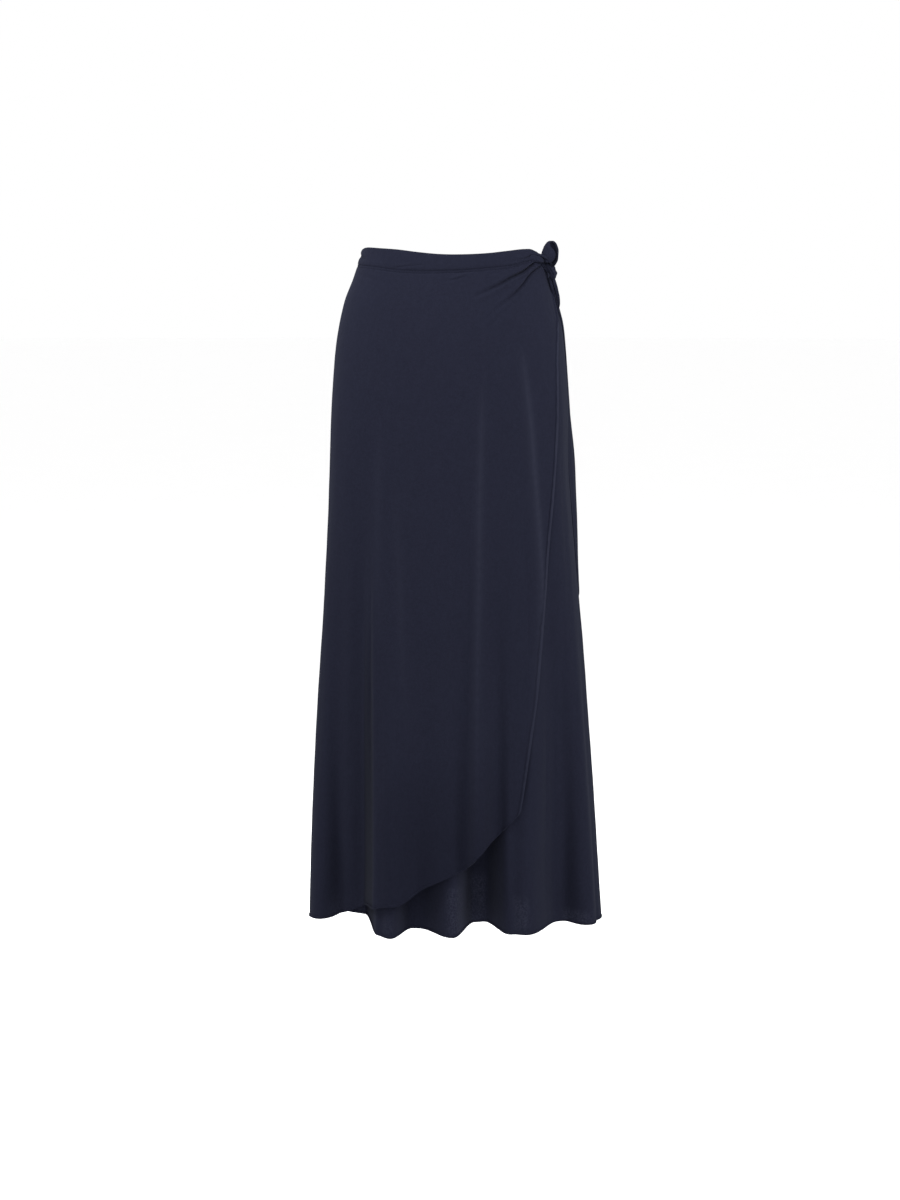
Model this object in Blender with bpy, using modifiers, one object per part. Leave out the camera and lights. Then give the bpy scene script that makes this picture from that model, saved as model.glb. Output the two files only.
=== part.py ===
"""A full-length crepe wrap skirt, filled out as it is worn and knotted at the wearer's left hip.

The wearer faces -Y, so the knot is at +X. The origin is the middle of the waist, at half the height of
the waistband, and "drop" is the distance down from there. A "bearing" goes round the figure in degrees:
0 is the middle of the front, 90 the side with the knot, 180 the middle of the back, -90 the plain side.
Cloth solids are open grids laid on the figure's sections and given their thickness by Solidify.
"""

import math
from collections import namedtuple

import bmesh
import bpy
import numpy as np
from mathutils import Vector

# Driving dimensions, in metres and degrees.
CLOTH = 0.0012  # wall of the crepe panels
BAND_CLOTH = 0.0024  # wall of the folded waistband
TIE_CLOTH = 0.0016  # wall of the folded ties
SEAM_GAP = 0.0005  # between two pieces at a seam
LAYER_GAP = 0.0036  # from the overlap's wall to the underlap's wall beneath it, middle to middle
LAYER_GAP_HEM = 0.0048  # the same at the hem, where the layers hang apart
HEM_DROP = 0.96  # where the folds have their full reach
FOLD_GROWTH = 1.7  # how fast a fold deepens on its way down
HELD_UPRIGHT = 0.033  # how much the sections square off below the hips, so that the folds hang upright
SQUARED_WAIST = 0.35  # the share of it that the waist has
SQUARED_FULLY = 0.30  # the drop at which it is whole
SIDE_SEAM = 95.0  # bearing of the side seams, just behind the sides
SEAM_ANGLE = 0.12  # half the gap at a side seam, as an angle
BAND_END = 55.0  # bearing where the overlap's waistband runs into the knot
UNDERLAP_EDGE = -76.0  # bearing of the underlap's free edge, inside the plain side
LEVEL_WITH_BACK = 66.0  # from this bearing the underlap comes out level with the back
FOLDS_AHEAD = 45.0  # as far as this from the middle, folds stand straight ahead
FOLDS_TURNED = 95.0  # and from here they stand straight sideways
RESTING_BLEND = 0.004  # how softly the overlap comes to rest on the underlap's crests
RESTING_FROM, RESTING_WHOLE = 0.2, 0.7  # the drops between which it grows to that
RESTING_BESIDE_SEAM = 12.0  # how far from its side seam the overlap rests fully on the underlap
BAND_FULLNESS = 0.0008  # how far a waistband stands out at half its height
PANEL_ROWS = 13
ROW_CROWDING = 1.4  # above 1, rows crowd towards the waist, where the figure curves most
PANEL_COLUMNS = 42
UNDERLAP_COLUMNS = 44
OVERLAP_LEVEL, HEM_LEVEL = 0.8, 0.9  # drops where a panel's columns stand at equal distances
BAND_ROWS = 2
BAND_COLUMNS = 30
TIE_COLUMNS = 3
LOOP_ROWS, SHORT_TAIL_ROWS, LONG_TAIL_ROWS = 22, 8, 26
KNOT_SIDES, KNOT_RINGS = 16, 12
COLOUR = (0.018, 0.020, 0.034, 1.0)
ROUGHNESS = 0.75

# The figure's sections: how far the cloth stands from the axis on each side.
Section = namedtuple("Section", "drop plain_side knot_side front back")
SECTIONS = (
    Section(-0.030, 0.1270, 0.1290, 0.0970, 0.0985),
    Section(-0.013, 0.1290, 0.1315, 0.0975, 0.1000),
    Section(0.000, 0.1312, 0.1336, 0.0985, 0.1020),
    Section(0.013, 0.1366, 0.1346, 0.1000, 0.1045),
    Section(0.030, 0.1425, 0.1352, 0.1030, 0.1085),
    Section(0.060, 0.1543, 0.1408, 0.1075, 0.1170),
    Section(0.090, 0.1617, 0.1492, 0.1105, 0.1250),
    Section(0.120, 0.1669, 0.1535, 0.1125, 0.1310),
    Section(0.160, 0.1709, 0.1572, 0.1135, 0.1360),
    Section(0.220, 0.1749, 0.1602, 0.1140, 0.1390),
    Section(0.290, 0.1776, 0.1608, 0.1142, 0.1400),
    Section(0.370, 0.1804, 0.1668, 0.1147, 0.1410),
    Section(0.450, 0.1850, 0.1738, 0.1155, 0.1430),
    Section(0.540, 0.1904, 0.1822, 0.1165, 0.1470),
    Section(0.640, 0.1969, 0.1905, 0.1175, 0.1530),
    Section(0.740, 0.2027, 0.1985, 0.1185, 0.1600),
    Section(0.860, 0.2090, 0.2068, 0.1195, 0.1690),
    Section(0.990, 0.2142, 0.2145, 0.1205, 0.1790),
)

# Crests and troughs of the folds, once round: reach is how far each stands out of the section at the hem,
# and begins is the drop where it starts to show.
Fold = namedtuple("Fold", "bearing reach begins")
BACK_AND_SIDE_FOLDS = (
    Fold(90, 0.000, 0.30),
    Fold(103, -0.020, 0.34),
    Fold(115, 0.020, 0.30),
    Fold(121, 0.016, 0.30),
    Fold(131, -0.024, 0.24),
    Fold(142, 0.024, 0.22),
    Fold(147, 0.022, 0.22),
    Fold(158, -0.020, 0.20),
    Fold(169, 0.020, 0.24),
    Fold(180, -0.008, 0.30),
)
BACK_FOLDS_PLAIN_SIDE = (
    Fold(-180, -0.008, 0.30),
    Fold(-171, 0.014, 0.26),
    Fold(-158, -0.026, 0.22),
    Fold(-147, 0.026, 0.20),
    Fold(-141, 0.022, 0.22),
    Fold(-130, -0.018, 0.28),
    Fold(-120, 0.012, 0.34),
    Fold(-106, -0.022, 0.28),
    Fold(-90, 0.000, 0.30),
)
UNDERLAP_FOLDS = (
    *BACK_FOLDS_PLAIN_SIDE,
    Fold(-72, -0.004, 0.34),
    Fold(-50, -0.062, 0.30),
    Fold(-38.3, -0.070, 0.26),
    Fold(-31.4, 0.024, 0.22),
    Fold(-26.4, 0.033, 0.22),
    Fold(-16.5, -0.031, 0.34),
    Fold(-13.8, -0.032, 0.34),
    Fold(-1, 0.016, 0.28),
    Fold(7.6, -0.062, 0.36),
    Fold(11.3, -0.063, 0.36),
    Fold(22.3, 0.012, 0.26),
    Fold(30, 0.022, 0.24),
    Fold(44.5, -0.033, 0.32),
    Fold(47.5, -0.032, 0.34),
    Fold(66, 0.014, 0.30),
    Fold(78, 0.000, 0.30),
    *BACK_AND_SIDE_FOLDS,
)
OVERLAP_FOLDS = (
    *BACK_FOLDS_PLAIN_SIDE,
    Fold(-72, 0.000, 0.34),
    Fold(-52, -0.052, 0.30),
    Fold(-39, -0.060, 0.26),
    Fold(-32.3, 0.028, 0.22),
    Fold(-25, 0.036, 0.22),
    Fold(-13, 0.006, 0.26),
    Fold(-5, 0.014, 0.24),
    Fold(3.5, 0.006, 0.24),
    Fold(9, 0.028, 0.18),
    Fold(17, -0.002, 0.22),
    Fold(26, 0.014, 0.16),
    Fold(34, 0.010, 0.18),
    Fold(45, -0.012, 0.24),
    Fold(62, 0.006, 0.30),
    Fold(78, 0.000, 0.30),
    *BACK_AND_SIDE_FOLDS,
)

# Heights of the waistband's edges round the ring. The front dips, and the overlap's band narrows to the knot.
BandEdge = namedtuple("BandEdge", "bearing top seam")
OVERLAP_BAND = (
    BandEdge(-96, 0.0062, -0.0118),
    BandEdge(-84, 0.0098, -0.0120),
    BandEdge(-70, 0.0128, -0.0128),
    BandEdge(-48, 0.0120, -0.0150),
    BandEdge(-33, 0.0100, -0.0185),
    BandEdge(-22, 0.0070, -0.0202),
    BandEdge(-8, 0.0040, -0.0200),
    BandEdge(8, 0.0040, -0.0182),
    BandEdge(18, 0.0054, -0.0161),
    BandEdge(30, 0.0084, -0.0132),
    BandEdge(42, 0.0108, -0.0075),
    BandEdge(48, 0.0105, -0.0050),
    BandEdge(53, 0.0068, -0.0035),
    BandEdge(59, 0.0028, -0.0030),
    BandEdge(66, 0.0000, -0.0060),
)
UNDERLAP_BAND = (
    BandEdge(-80, 0.0060, -0.0160),
    BandEdge(-60, 0.0085, -0.0170),
    BandEdge(-38, 0.0070, -0.0205),
    BandEdge(-12, 0.0010, -0.0230),
    BandEdge(12, 0.0010, -0.0210),
    BandEdge(33, 0.0050, -0.0170),
    BandEdge(46, 0.0060, -0.0150),
    BandEdge(56, 0.0042, -0.0150),
    BandEdge(72, 0.0035, -0.0165),
    BandEdge(96, 0.0050, -0.0185),
)
BACK_BAND = (
    BandEdge(94, 0.0050, -0.0185),
    BandEdge(120, 0.0035, -0.0205),
    BandEdge(150, 0.0010, -0.0230),
    BandEdge(180, 0.0000, -0.0240),
    BandEdge(210, 0.0030, -0.0210),
    BandEdge(240, 0.0070, -0.0165),
    BandEdge(266, 0.0062, -0.0120),
)

# Hems: how far down each panel reaches, and the overlap's slanting free edge.
HemPoint = namedtuple("HemPoint", "bearing drop")
OVERLAP_HEM = (
    HemPoint(-96, 0.957),
    HemPoint(-75, 0.948),
    HemPoint(-60, 0.945),
    HemPoint(-49, 0.940),
    HemPoint(-42.5, 0.933),
    HemPoint(-38.4, 0.926),
    HemPoint(-34, 0.911),
    HemPoint(-29, 0.904),
    HemPoint(-20, 0.897),
    HemPoint(-12, 0.879),
    HemPoint(-2, 0.860),
    HemPoint(4, 0.850),
    HemPoint(9.6, 0.829),
    HemPoint(14.6, 0.813),
    HemPoint(18, 0.804),
    HemPoint(22, 0.789),
    HemPoint(25, 0.778),
    HemPoint(26.6, 0.766),
)
UNDERLAP_HEM = (
    HemPoint(-80, 0.940),
    HemPoint(-50, 0.942),
    HemPoint(-28, 0.948),
    HemPoint(0, 0.948),
    HemPoint(30, 0.947),
    HemPoint(60, 0.950),
    HemPoint(96, 0.957),
)
BACK_HEM = (
    HemPoint(94, 0.957),
    HemPoint(130, 0.960),
    HemPoint(180, 0.964),
    HemPoint(230, 0.960),
    HemPoint(266, 0.957),
)
FreeEdge = namedtuple("FreeEdge", "drop bearing")
OVERLAP_EDGE = (
    FreeEdge(0.000, 63.0),
    FreeEdge(0.011, 64.0),
    FreeEdge(0.032, 69.0),
    FreeEdge(0.052, 73.0),
    FreeEdge(0.069, 72.5),
    FreeEdge(0.091, 66.5),
    FreeEdge(0.127, 59.6),
    FreeEdge(0.182, 54.4),
    FreeEdge(0.237, 51.7),
    FreeEdge(0.306, 49.0),
    FreeEdge(0.385, 43.2),
    FreeEdge(0.431, 40.4),
    FreeEdge(0.526, 36.8),
    FreeEdge(0.612, 34.0),
    FreeEdge(0.687, 30.3),
    FreeEdge(0.748, 27.6),
    FreeEdge(0.767, 26.6),
    FreeEdge(1.000, 26.6),
)
SQUEEZE_FROM = 5.0  # columns beyond this bearing close up towards the slanting edge

# The ties lie on the figure. Each row is a point of a hanging end's middle line, with how far its front and
# rear edges stand off the underlap.
TieRow = namedtuple("TieRow", "drop bearing width front_lift rear_lift")
SHORT_TAIL = (
    TieRow(0.0300, 66.5, 0.0080, 0.0119, 0.0119),
    TieRow(0.0430, 72, 0.0105, 0.0108, 0.0108),
    TieRow(0.0600, 76, 0.0120, 0.0090, 0.0090),
    TieRow(0.0740, 78, 0.0120, 0.0074, 0.0086),
)
LONG_TAIL = (
    TieRow(0.0295, 67, 0.0080, 0.0078, 0.0078),
    TieRow(0.0450, 76, 0.0110, 0.0056, 0.0050),
    TieRow(0.0700, 83, 0.0150, 0.0028, 0.0028),
    TieRow(0.1150, 88, 0.0200, 0.0022, 0.0034),
    TieRow(0.1700, 91, 0.0230, 0.0022, 0.0056),
    TieRow(0.2280, 93, 0.0250, 0.0022, 0.0096),
    TieRow(0.2850, 95, 0.0260, 0.0024, 0.0136),
    TieRow(0.3420, 95.5, 0.0260, 0.0024, 0.0124),
    TieRow(0.4000, 95.5, 0.0260, 0.0024, 0.0096),
    TieRow(0.4950, 95, 0.0220, 0.0024, 0.0044),
)
Spot = namedtuple("Spot", "bearing drop lift")
KNOT_TOP = Spot(55.6, 0.0036, 0.0072)  # middles of the knot's two lobes
KNOT_FOOT = Spot(66.0, 0.0236, 0.0083)
KNOT_RADIUS = 0.0060
KNOT_PINCH = 0.88  # the knot's girth between its lobes
LOOP_FOOT = Spot(63.9, 0.0090, 0.0105)
LOOP_HEIGHT = 0.0310
LOOP_SPREAD = 0.0085  # half the loop's breadth
LOOP_WIDTH = 0.0165  # width of the tie where it makes the loop
LOOP_TURN = 48.0  # the loop's hollow faces this far round from straight ahead
LOOP_LEAN = -0.10  # sideways run of the loop for its rise
LOOP_TILT = 0.12  # rise of the loop's hollow for its run
LOOP_OPEN = 0.05  # the share of the loop that is left open at each of its ends
LOOP_ENDS_APART = 0.00144  # how far each of its ends stands from the middle
LOOP_PINCHED = 0.45  # the tie's width at the top and the foot, as a share of its whole width


def smooth_through(marks, values, at):
    """A smooth curve through a table's rows, in cubic pieces whose slopes come from the rows beside them."""
    marks, values = np.asarray(marks, float), np.asarray(values, float)
    at = np.clip(at, marks[0], marks[-1])
    slopes = np.gradient(values, marks)
    i = np.clip(np.searchsorted(marks, at, side="right") - 1, 0, len(marks) - 2)
    span = marks[i + 1] - marks[i]
    t = (at - marks[i]) / span
    return (
        (1 + 2 * t) * (1 - t) ** 2 * values[i]
        + t * (1 - t) ** 2 * span * slopes[i]
        + t**2 * (3 - 2 * t) * values[i + 1]
        + t**2 * (t - 1) * span * slopes[i + 1]
    )


def column(table, name):
    return [getattr(row, name) for row in table]


def along(table, name, at):
    """A table's column as a smooth function of its first column."""
    return smooth_through(column(table, table[0]._fields[0]), column(table, name), at)


def ease(t):
    """From 0 to 1 with no slope at either end."""
    t = np.clip(t, 0, 1)
    return (1 - np.cos(math.pi * t)) / 2


def fold_reach(folds, bearing, drop):
    """How far the folds stand out here, easing from each crest or trough to the next."""
    marks = np.array(column(folds, "bearing"), float)
    reach = np.array(column(folds, "reach"))
    begins = np.array(column(folds, "begins"))
    bearing = (bearing + 180) % 360 - 180
    i = np.clip(np.searchsorted(marks, bearing, side="right") - 1, 0, len(marks) - 2)

    def at_row(k):
        grown = np.clip((drop - begins[k]) / (HEM_DROP - begins[k]), 0, None)
        return reach[k] * grown**FOLD_GROWTH

    share = ease((bearing - marks[i]) / (marks[i + 1] - marks[i]))
    return at_row(i) * (1 - share) + at_row(i + 1) * share


def on_section(bearing, drop):
    """The plain figure, without folds: (across, behind) at a bearing and a drop."""
    angle = np.radians(bearing)
    side, ahead = np.sin(angle), np.cos(angle)
    plain = along(SECTIONS, "plain_side", drop)
    knot = along(SECTIONS, "knot_side", drop)
    half = np.where(side < 0, plain, knot)
    widest = np.where(side < 0, SECTIONS[-2].plain_side, SECTIONS[-2].knot_side)
    squared = SQUARED_WAIST + (1 - SQUARED_WAIST) * ease(drop / SQUARED_FULLY)
    spread = np.clip(widest - half, 0, HELD_UPRIGHT) * squared
    across = side * (half + spread * (1 - side**4))
    depth = np.where(ahead > 0, along(SECTIONS, "front", drop), along(SECTIONS, "back", drop))
    return across, -depth * ahead


def outward(bearing):
    """The way a fold stands out: straight ahead over the front, turning sideways towards the sides."""
    turned = (bearing + 180) % 360 - 180
    from_middle = np.where(np.abs(turned) <= 90, np.abs(turned), 180 - np.abs(turned))
    swing = math.pi / 2 * ease((from_middle - FOLDS_AHEAD) / (FOLDS_TURNED - FOLDS_AHEAD))
    ahead = np.where(np.abs(turned) <= 90, -1.0, 1.0)
    return np.sin(swing) * np.sign(turned), np.cos(swing) * ahead


def section_normal(bearing, drop):
    """The outward normal of the plain figure's section."""
    step = 0.5
    x0, y0 = on_section(bearing - step, drop)
    x1, y1 = on_section(bearing + step, drop)
    length = np.hypot(x1 - x0, y1 - y0)
    return (y1 - y0) / length, -(x1 - x0) / length


def layer_gap(drop):
    share = ease(drop / HEM_DROP)
    return LAYER_GAP + (LAYER_GAP_HEM - LAYER_GAP) * share


def cloth_point(bearing, drop, reach, inset=0.0):
    """A point of a cloth wall's middle, standing out by its folds and set in by its layer."""
    x, y = on_section(bearing, drop)
    out_x, out_y = outward(bearing)
    normal_x, normal_y = section_normal(bearing, drop)
    return np.stack(
        [x + out_x * reach - normal_x * inset, y + out_y * reach - normal_y * inset, -drop], axis=-1
    )


def underlap_inset(bearing, drop):
    """The underlap lies inside the overlap, and comes out level with the back at the knot's side seam."""
    return layer_gap(drop) * (1 - ease((bearing - LEVEL_WITH_BACK) / (SIDE_SEAM - LEVEL_WITH_BACK)))


def underlap_point(bearing, drop):
    reach = fold_reach(UNDERLAP_FOLDS, bearing, drop)
    return cloth_point(bearing, drop, reach, underlap_inset(bearing, drop))


def overlap_point(bearing, drop):
    """The overlap rests on the underlap's crests and bridges its troughs."""
    under = fold_reach(UNDERLAP_FOLDS, bearing, drop)
    own = fold_reach(OVERLAP_FOLDS, bearing, drop)
    blend = RESTING_BLEND * ease((drop - RESTING_FROM) / (RESTING_WHOLE - RESTING_FROM))
    resting = (own + under + np.sqrt((own - under) ** 2 + blend**2)) / 2
    plain_side = ease((bearing + SIDE_SEAM) / RESTING_BESIDE_SEAM)
    return cloth_point(bearing, drop, own + (resting - own) * plain_side)


def back_point(bearing, drop):
    return cloth_point(bearing, drop, fold_reach(UNDERLAP_FOLDS, bearing, drop))


def even_columns(point, low, high, count, drop):
    """Bearings that cut the ring at this drop into equal lengths, so that folds get columns enough."""
    fine = np.linspace(low, high, 1200)
    ring = point(fine, np.full_like(fine, drop))
    length = np.concatenate([[0], np.cumsum(np.linalg.norm(np.diff(ring, axis=0), axis=1))])
    return np.interp(np.linspace(0, length[-1], count + 1), length, fine)


def grid_object(name, columns, rows, place, thickness, collection, material):
    """An open grid, bent to place(column share, row share), with a Solidify modifier for its wall."""
    mesh = bpy.data.meshes.new(name)
    shape = bmesh.new()
    bmesh.ops.create_grid(shape, x_segments=columns, y_segments=rows, size=0.5)
    shares = np.array([[v.co.x + 0.5, 0.5 - v.co.y] for v in shape.verts])
    for vert, point in zip(shape.verts, place(shares[:, 0], shares[:, 1])):
        vert.co = point
    for face in shape.faces:
        face.smooth = True
    shape.to_mesh(mesh)
    shape.free()
    mesh.materials.append(material)
    piece = bpy.data.objects.new(name, mesh)
    collection.objects.link(piece)
    wall = piece.modifiers.new("wall", "SOLIDIFY")
    wall.thickness = thickness
    wall.offset = 0
    return piece


def panel(name, point, bearings, seam, hem, edge, collection, material):
    """A skirt panel from the waist seam to its hem, between two bearings or a bearing and a slanting edge."""

    def closed_up(bearing, drop):
        if edge is None:
            return bearing
        share = np.clip(bearing - SQUEEZE_FROM, 0, None) / (bearings[-1] - SQUEEZE_FROM)
        slanting = along(edge, "bearing", drop)
        return np.minimum(bearing, SQUEEZE_FROM) + share * (slanting - SQUEEZE_FROM)

    def place(u, v):
        straight = np.interp(u, np.linspace(0, 1, len(bearings)), bearings)
        top = -seam(straight) + SEAM_GAP / 2
        bottom = along(hem, "drop", closed_up(straight, np.full_like(straight, HEM_DROP)))
        drop = top + (bottom - top) * v**ROW_CROWDING
        return point(closed_up(straight, drop), drop)

    columns = len(bearings) - 1
    return grid_object(name, columns, PANEL_ROWS, place, CLOTH, collection, material)


def band(name, edges, low, high, inset, collection, material):
    """A stretch of waistband: a folded strip standing on the waist seam, a little full at half its height."""

    def place(u, v):
        bearing = low + (high - low) * u
        top, seam = along(edges, "top", bearing), along(edges, "seam", bearing) + SEAM_GAP / 2
        height = top + (seam - top) * v
        fullness = BAND_FULLNESS * np.sin(math.pi * v)
        return cloth_point(bearing, -height, fullness, inset(bearing, -height))

    return grid_object(name, BAND_COLUMNS, BAND_ROWS, place, BAND_CLOTH, collection, material)


def spot_point(spot):
    """A point that stands off the overlap's smooth section."""
    bearing, drop = np.array([spot.bearing], float), np.array([spot.drop])
    return Vector(cloth_point(bearing, drop, 0.0, -spot.lift)[0])


def tie_tail(name, rows, lengthwise, collection, material):
    """A hanging tie end: a flat strip that follows the cloth beneath it, standing off by its lifts."""
    drops = column(rows, "drop")

    def place(u, v):
        drop = drops[0] + (drops[-1] - drops[0]) * v
        middle = along(rows, "bearing", drop)
        x0, y0 = on_section(middle - 1, drop)
        x1, y1 = on_section(middle + 1, drop)
        per_degree = np.hypot(x1 - x0, y1 - y0) / 2
        bearing = middle + (u - 0.5) * along(rows, "width", drop) / per_degree
        front, rear = along(rows, "front_lift", drop), along(rows, "rear_lift", drop)
        lift = front + (rear - front) * u
        return cloth_point(bearing, drop, 0.0, underlap_inset(bearing, drop) - lift)

    return grid_object(name, TIE_COLUMNS, lengthwise, place, TIE_CLOTH, collection, material)


def tie_loop(collection, material):
    """The tie's one loop, a strip bent into a standing teardrop above the knot."""
    turn = math.radians(LOOP_TURN)
    hollow = Vector((math.sin(turn), -math.cos(turn), LOOP_TILT)).normalized()
    aside = Vector((math.cos(turn), math.sin(turn), 0.0))
    foot = spot_point(LOOP_FOOT)

    def place(u, v):
        round_loop = 2 * math.pi * (LOOP_OPEN + (1 - 2 * LOOP_OPEN) * v)
        rise = LOOP_HEIGHT * (1 - np.cos(round_loop)) / 2
        spread = LOOP_SPREAD * np.sin(round_loop) * np.sin(round_loop / 2) ** 0.5
        spread += LOOP_ENDS_APART * np.cos(round_loop / 2)
        width = LOOP_WIDTH * (LOOP_PINCHED + (1 - LOOP_PINCHED) * np.abs(np.sin(round_loop)))
        points = np.outer(rise, (LOOP_LEAN, 0.0, 1.0)) - np.outer(spread, aside)
        return points + np.outer((u - 0.5) * width, hollow) + foot

    return grid_object("tie_loop", TIE_COLUMNS, LOOP_ROWS, place, TIE_CLOTH, collection, material)


def tie_knot(collection, material):
    """The knot itself, two tight lobes that slant from the band's end down to the tails."""
    top, foot = spot_point(KNOT_TOP), spot_point(KNOT_FOOT)
    mesh = bpy.data.meshes.new("tie_knot")
    shape = bmesh.new()
    bmesh.ops.create_uvsphere(shape, u_segments=KNOT_SIDES, v_segments=KNOT_RINGS, radius=KNOT_RADIUS)
    for vert in shape.verts:
        height = vert.co.z
        if abs(height) < 0.00001:  # the ring between the lobes
            vert.co *= KNOT_PINCH
        else:
            vert.co.z += math.copysign((top - foot).length / 2, height)
    for face in shape.faces:
        face.smooth = True
    shape.to_mesh(mesh)
    shape.free()
    mesh.materials.append(material)
    piece = bpy.data.objects.new("tie_knot", mesh)
    piece.location = (top + foot) / 2
    piece.rotation_euler = (top - foot).to_track_quat("Z", "Y").to_euler()
    collection.objects.link(piece)
    return piece


def crepe(name):
    material = bpy.data.materials.new(name)
    material.use_nodes = True
    shader = material.node_tree.nodes["Principled BSDF"]
    shader.inputs["Base Color"].default_value = COLOUR
    shader.inputs["Roughness"].default_value = ROUGHNESS
    shader.inputs["Metallic"].default_value = 0.0
    return material


def clear_scene():
    for obj in list(bpy.data.objects):
        bpy.data.objects.remove(obj, do_unlink=True)


def level(bearing, drop):
    """No inset: the layer lies on the section itself."""
    return np.zeros_like(bearing)


def seam_of(edges):
    return lambda bearing: along(edges, "seam", bearing)


def build_skirt():
    skirt = bpy.data.collections.new("wrap_skirt")
    bpy.context.scene.collection.children.link(skirt)
    panel_crepe, band_crepe, tie_crepe = crepe("panel_crepe"), crepe("band_crepe"), crepe("tie_crepe")
    before_seam = SIDE_SEAM - SEAM_ANGLE
    after_seam = SIDE_SEAM + SEAM_ANGLE

    bearings = even_columns(
        overlap_point, -before_seam, OVERLAP_EDGE[0].bearing, PANEL_COLUMNS, OVERLAP_LEVEL
    )
    seam = seam_of(OVERLAP_BAND)
    panel("front_overlap", overlap_point, bearings, seam, OVERLAP_HEM, OVERLAP_EDGE, skirt, panel_crepe)
    bearings = even_columns(underlap_point, UNDERLAP_EDGE, before_seam, UNDERLAP_COLUMNS, HEM_LEVEL)
    seam = seam_of(UNDERLAP_BAND)
    panel("front_underlap", underlap_point, bearings, seam, UNDERLAP_HEM, None, skirt, panel_crepe)
    bearings = even_columns(back_point, after_seam, 360 - after_seam, PANEL_COLUMNS, HEM_LEVEL)
    seam = seam_of(BACK_BAND)
    panel("back_panel", back_point, bearings, seam, BACK_HEM, None, skirt, panel_crepe)

    band("waistband_overlap", OVERLAP_BAND, -before_seam, BAND_END, level, skirt, band_crepe)
    band(
        "waistband_underlap", UNDERLAP_BAND, UNDERLAP_EDGE, before_seam, underlap_inset, skirt, band_crepe
    )
    band("waistband_back", BACK_BAND, after_seam, 360 - after_seam, level, skirt, band_crepe)
    tie_knot(skirt, tie_crepe)
    tie_loop(skirt, tie_crepe)
    tie_tail("tie_tail_short", SHORT_TAIL, SHORT_TAIL_ROWS, skirt, tie_crepe)
    tie_tail("tie_tail_long", LONG_TAIL, LONG_TAIL_ROWS, skirt, tie_crepe)


clear_scene()
build_skirt()
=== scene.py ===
"""The looks of a full-length crepe wrap skirt, filled out as it is worn and knotted at the left hip.

The wearer faces -Y. A "drop" is the distance down from the origin, in the middle of the waist, and a
"bearing" goes round the figure in degrees: 0 is the middle of the front, 90 the side with the knot, 180
the middle of the back and -90 the plain side. Every cloth shell is laid on the figure's sections by its
bearings and drops, so that it follows the solid it stands for.
"""
import math
from collections import namedtuple

import bmesh
import bpy
import numpy as np
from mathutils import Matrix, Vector


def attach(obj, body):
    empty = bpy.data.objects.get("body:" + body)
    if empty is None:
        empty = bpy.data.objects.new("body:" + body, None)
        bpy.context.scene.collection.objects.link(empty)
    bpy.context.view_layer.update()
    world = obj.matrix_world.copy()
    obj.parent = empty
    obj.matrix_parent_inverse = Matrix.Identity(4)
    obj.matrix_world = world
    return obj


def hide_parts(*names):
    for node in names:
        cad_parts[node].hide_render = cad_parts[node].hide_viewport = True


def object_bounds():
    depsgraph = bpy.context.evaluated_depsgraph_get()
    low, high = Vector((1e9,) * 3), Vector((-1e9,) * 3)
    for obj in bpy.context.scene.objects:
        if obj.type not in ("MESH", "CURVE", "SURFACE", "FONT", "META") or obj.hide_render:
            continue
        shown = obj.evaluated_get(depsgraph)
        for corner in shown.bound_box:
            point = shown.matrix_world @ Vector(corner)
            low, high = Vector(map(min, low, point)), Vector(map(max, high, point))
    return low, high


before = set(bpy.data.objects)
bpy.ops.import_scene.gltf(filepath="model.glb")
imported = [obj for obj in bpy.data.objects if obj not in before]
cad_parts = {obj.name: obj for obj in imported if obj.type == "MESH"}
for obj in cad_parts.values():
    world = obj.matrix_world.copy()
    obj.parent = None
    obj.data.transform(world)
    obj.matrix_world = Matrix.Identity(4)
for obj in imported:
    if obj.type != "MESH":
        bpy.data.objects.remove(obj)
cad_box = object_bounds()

# Cloth and sewing sizes, in metres.
CLOTH = 0.0008  # wall of the crepe
HEM_CLOTH = 0.0022  # wall where a narrow hem is turned twice
HEM_WIDTH = 0.0034
HEM_SPARE = 0.0005  # the wall starts to thicken this far inside the hem's stitched line
HEM_STEP = 0.0008  # and is whole this much nearer the edge
EDGE_HIGHLIGHT_WIDTH = 0.0024  # how much of the overlap's turned edge gets a painted highlight
BAND_CLOTH = 0.0024  # wall of the folded waistband
TIE_CLOTH = 0.0022  # wall of the folded ties
TUCK = 0.0030  # how far a panel reaches up inside its waistband
LAYER_GAP = 0.0036  # from the overlap to the underlap beneath it, middle to middle
LAYER_GAP_HEM = 0.0048  # the same at the hem, where the layers hang apart
EDGE_SINK = 0.0044  # how far the underlap sinks beside the overlap's free edge
EDGE_SINK_WIDTH = 0.0031
EDGE_LIFT = 0.0018  # how far the overlap's turned edge stands up
EDGE_LIFT_WIDTH = 0.0030

# Stitches, and what they press in.
STITCH_PITCH = 0.0040
STITCH_LENGTH = 0.0026
STITCH_GIRTH = 0.0008
STITCH_LIFT = 0.1  # how far a stitch stands out of the cloth, as a share of its girth
STITCH_MARGIN = 0.5  # how far the rows keep from the side seams, in degrees
STITCH_PRESS = 0.0007  # how far the rows of stitches at the waist press in
STITCH_PRESS_WIDTH = 0.0008
SEAM_STITCHES = 0.0018  # how far the two stitched rows lie above and below the waist seam
HEM_STITCHES = 0.0029  # how far a hem's stitches lie from its edge
SEAM_OVERLAP = 0.02  # how far a panel or band runs past its side seam, in degrees
SEAM_PRESS = 0.0008  # how far the side seams press in
SEAM_PRESS_ANGLE = 0.6

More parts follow.
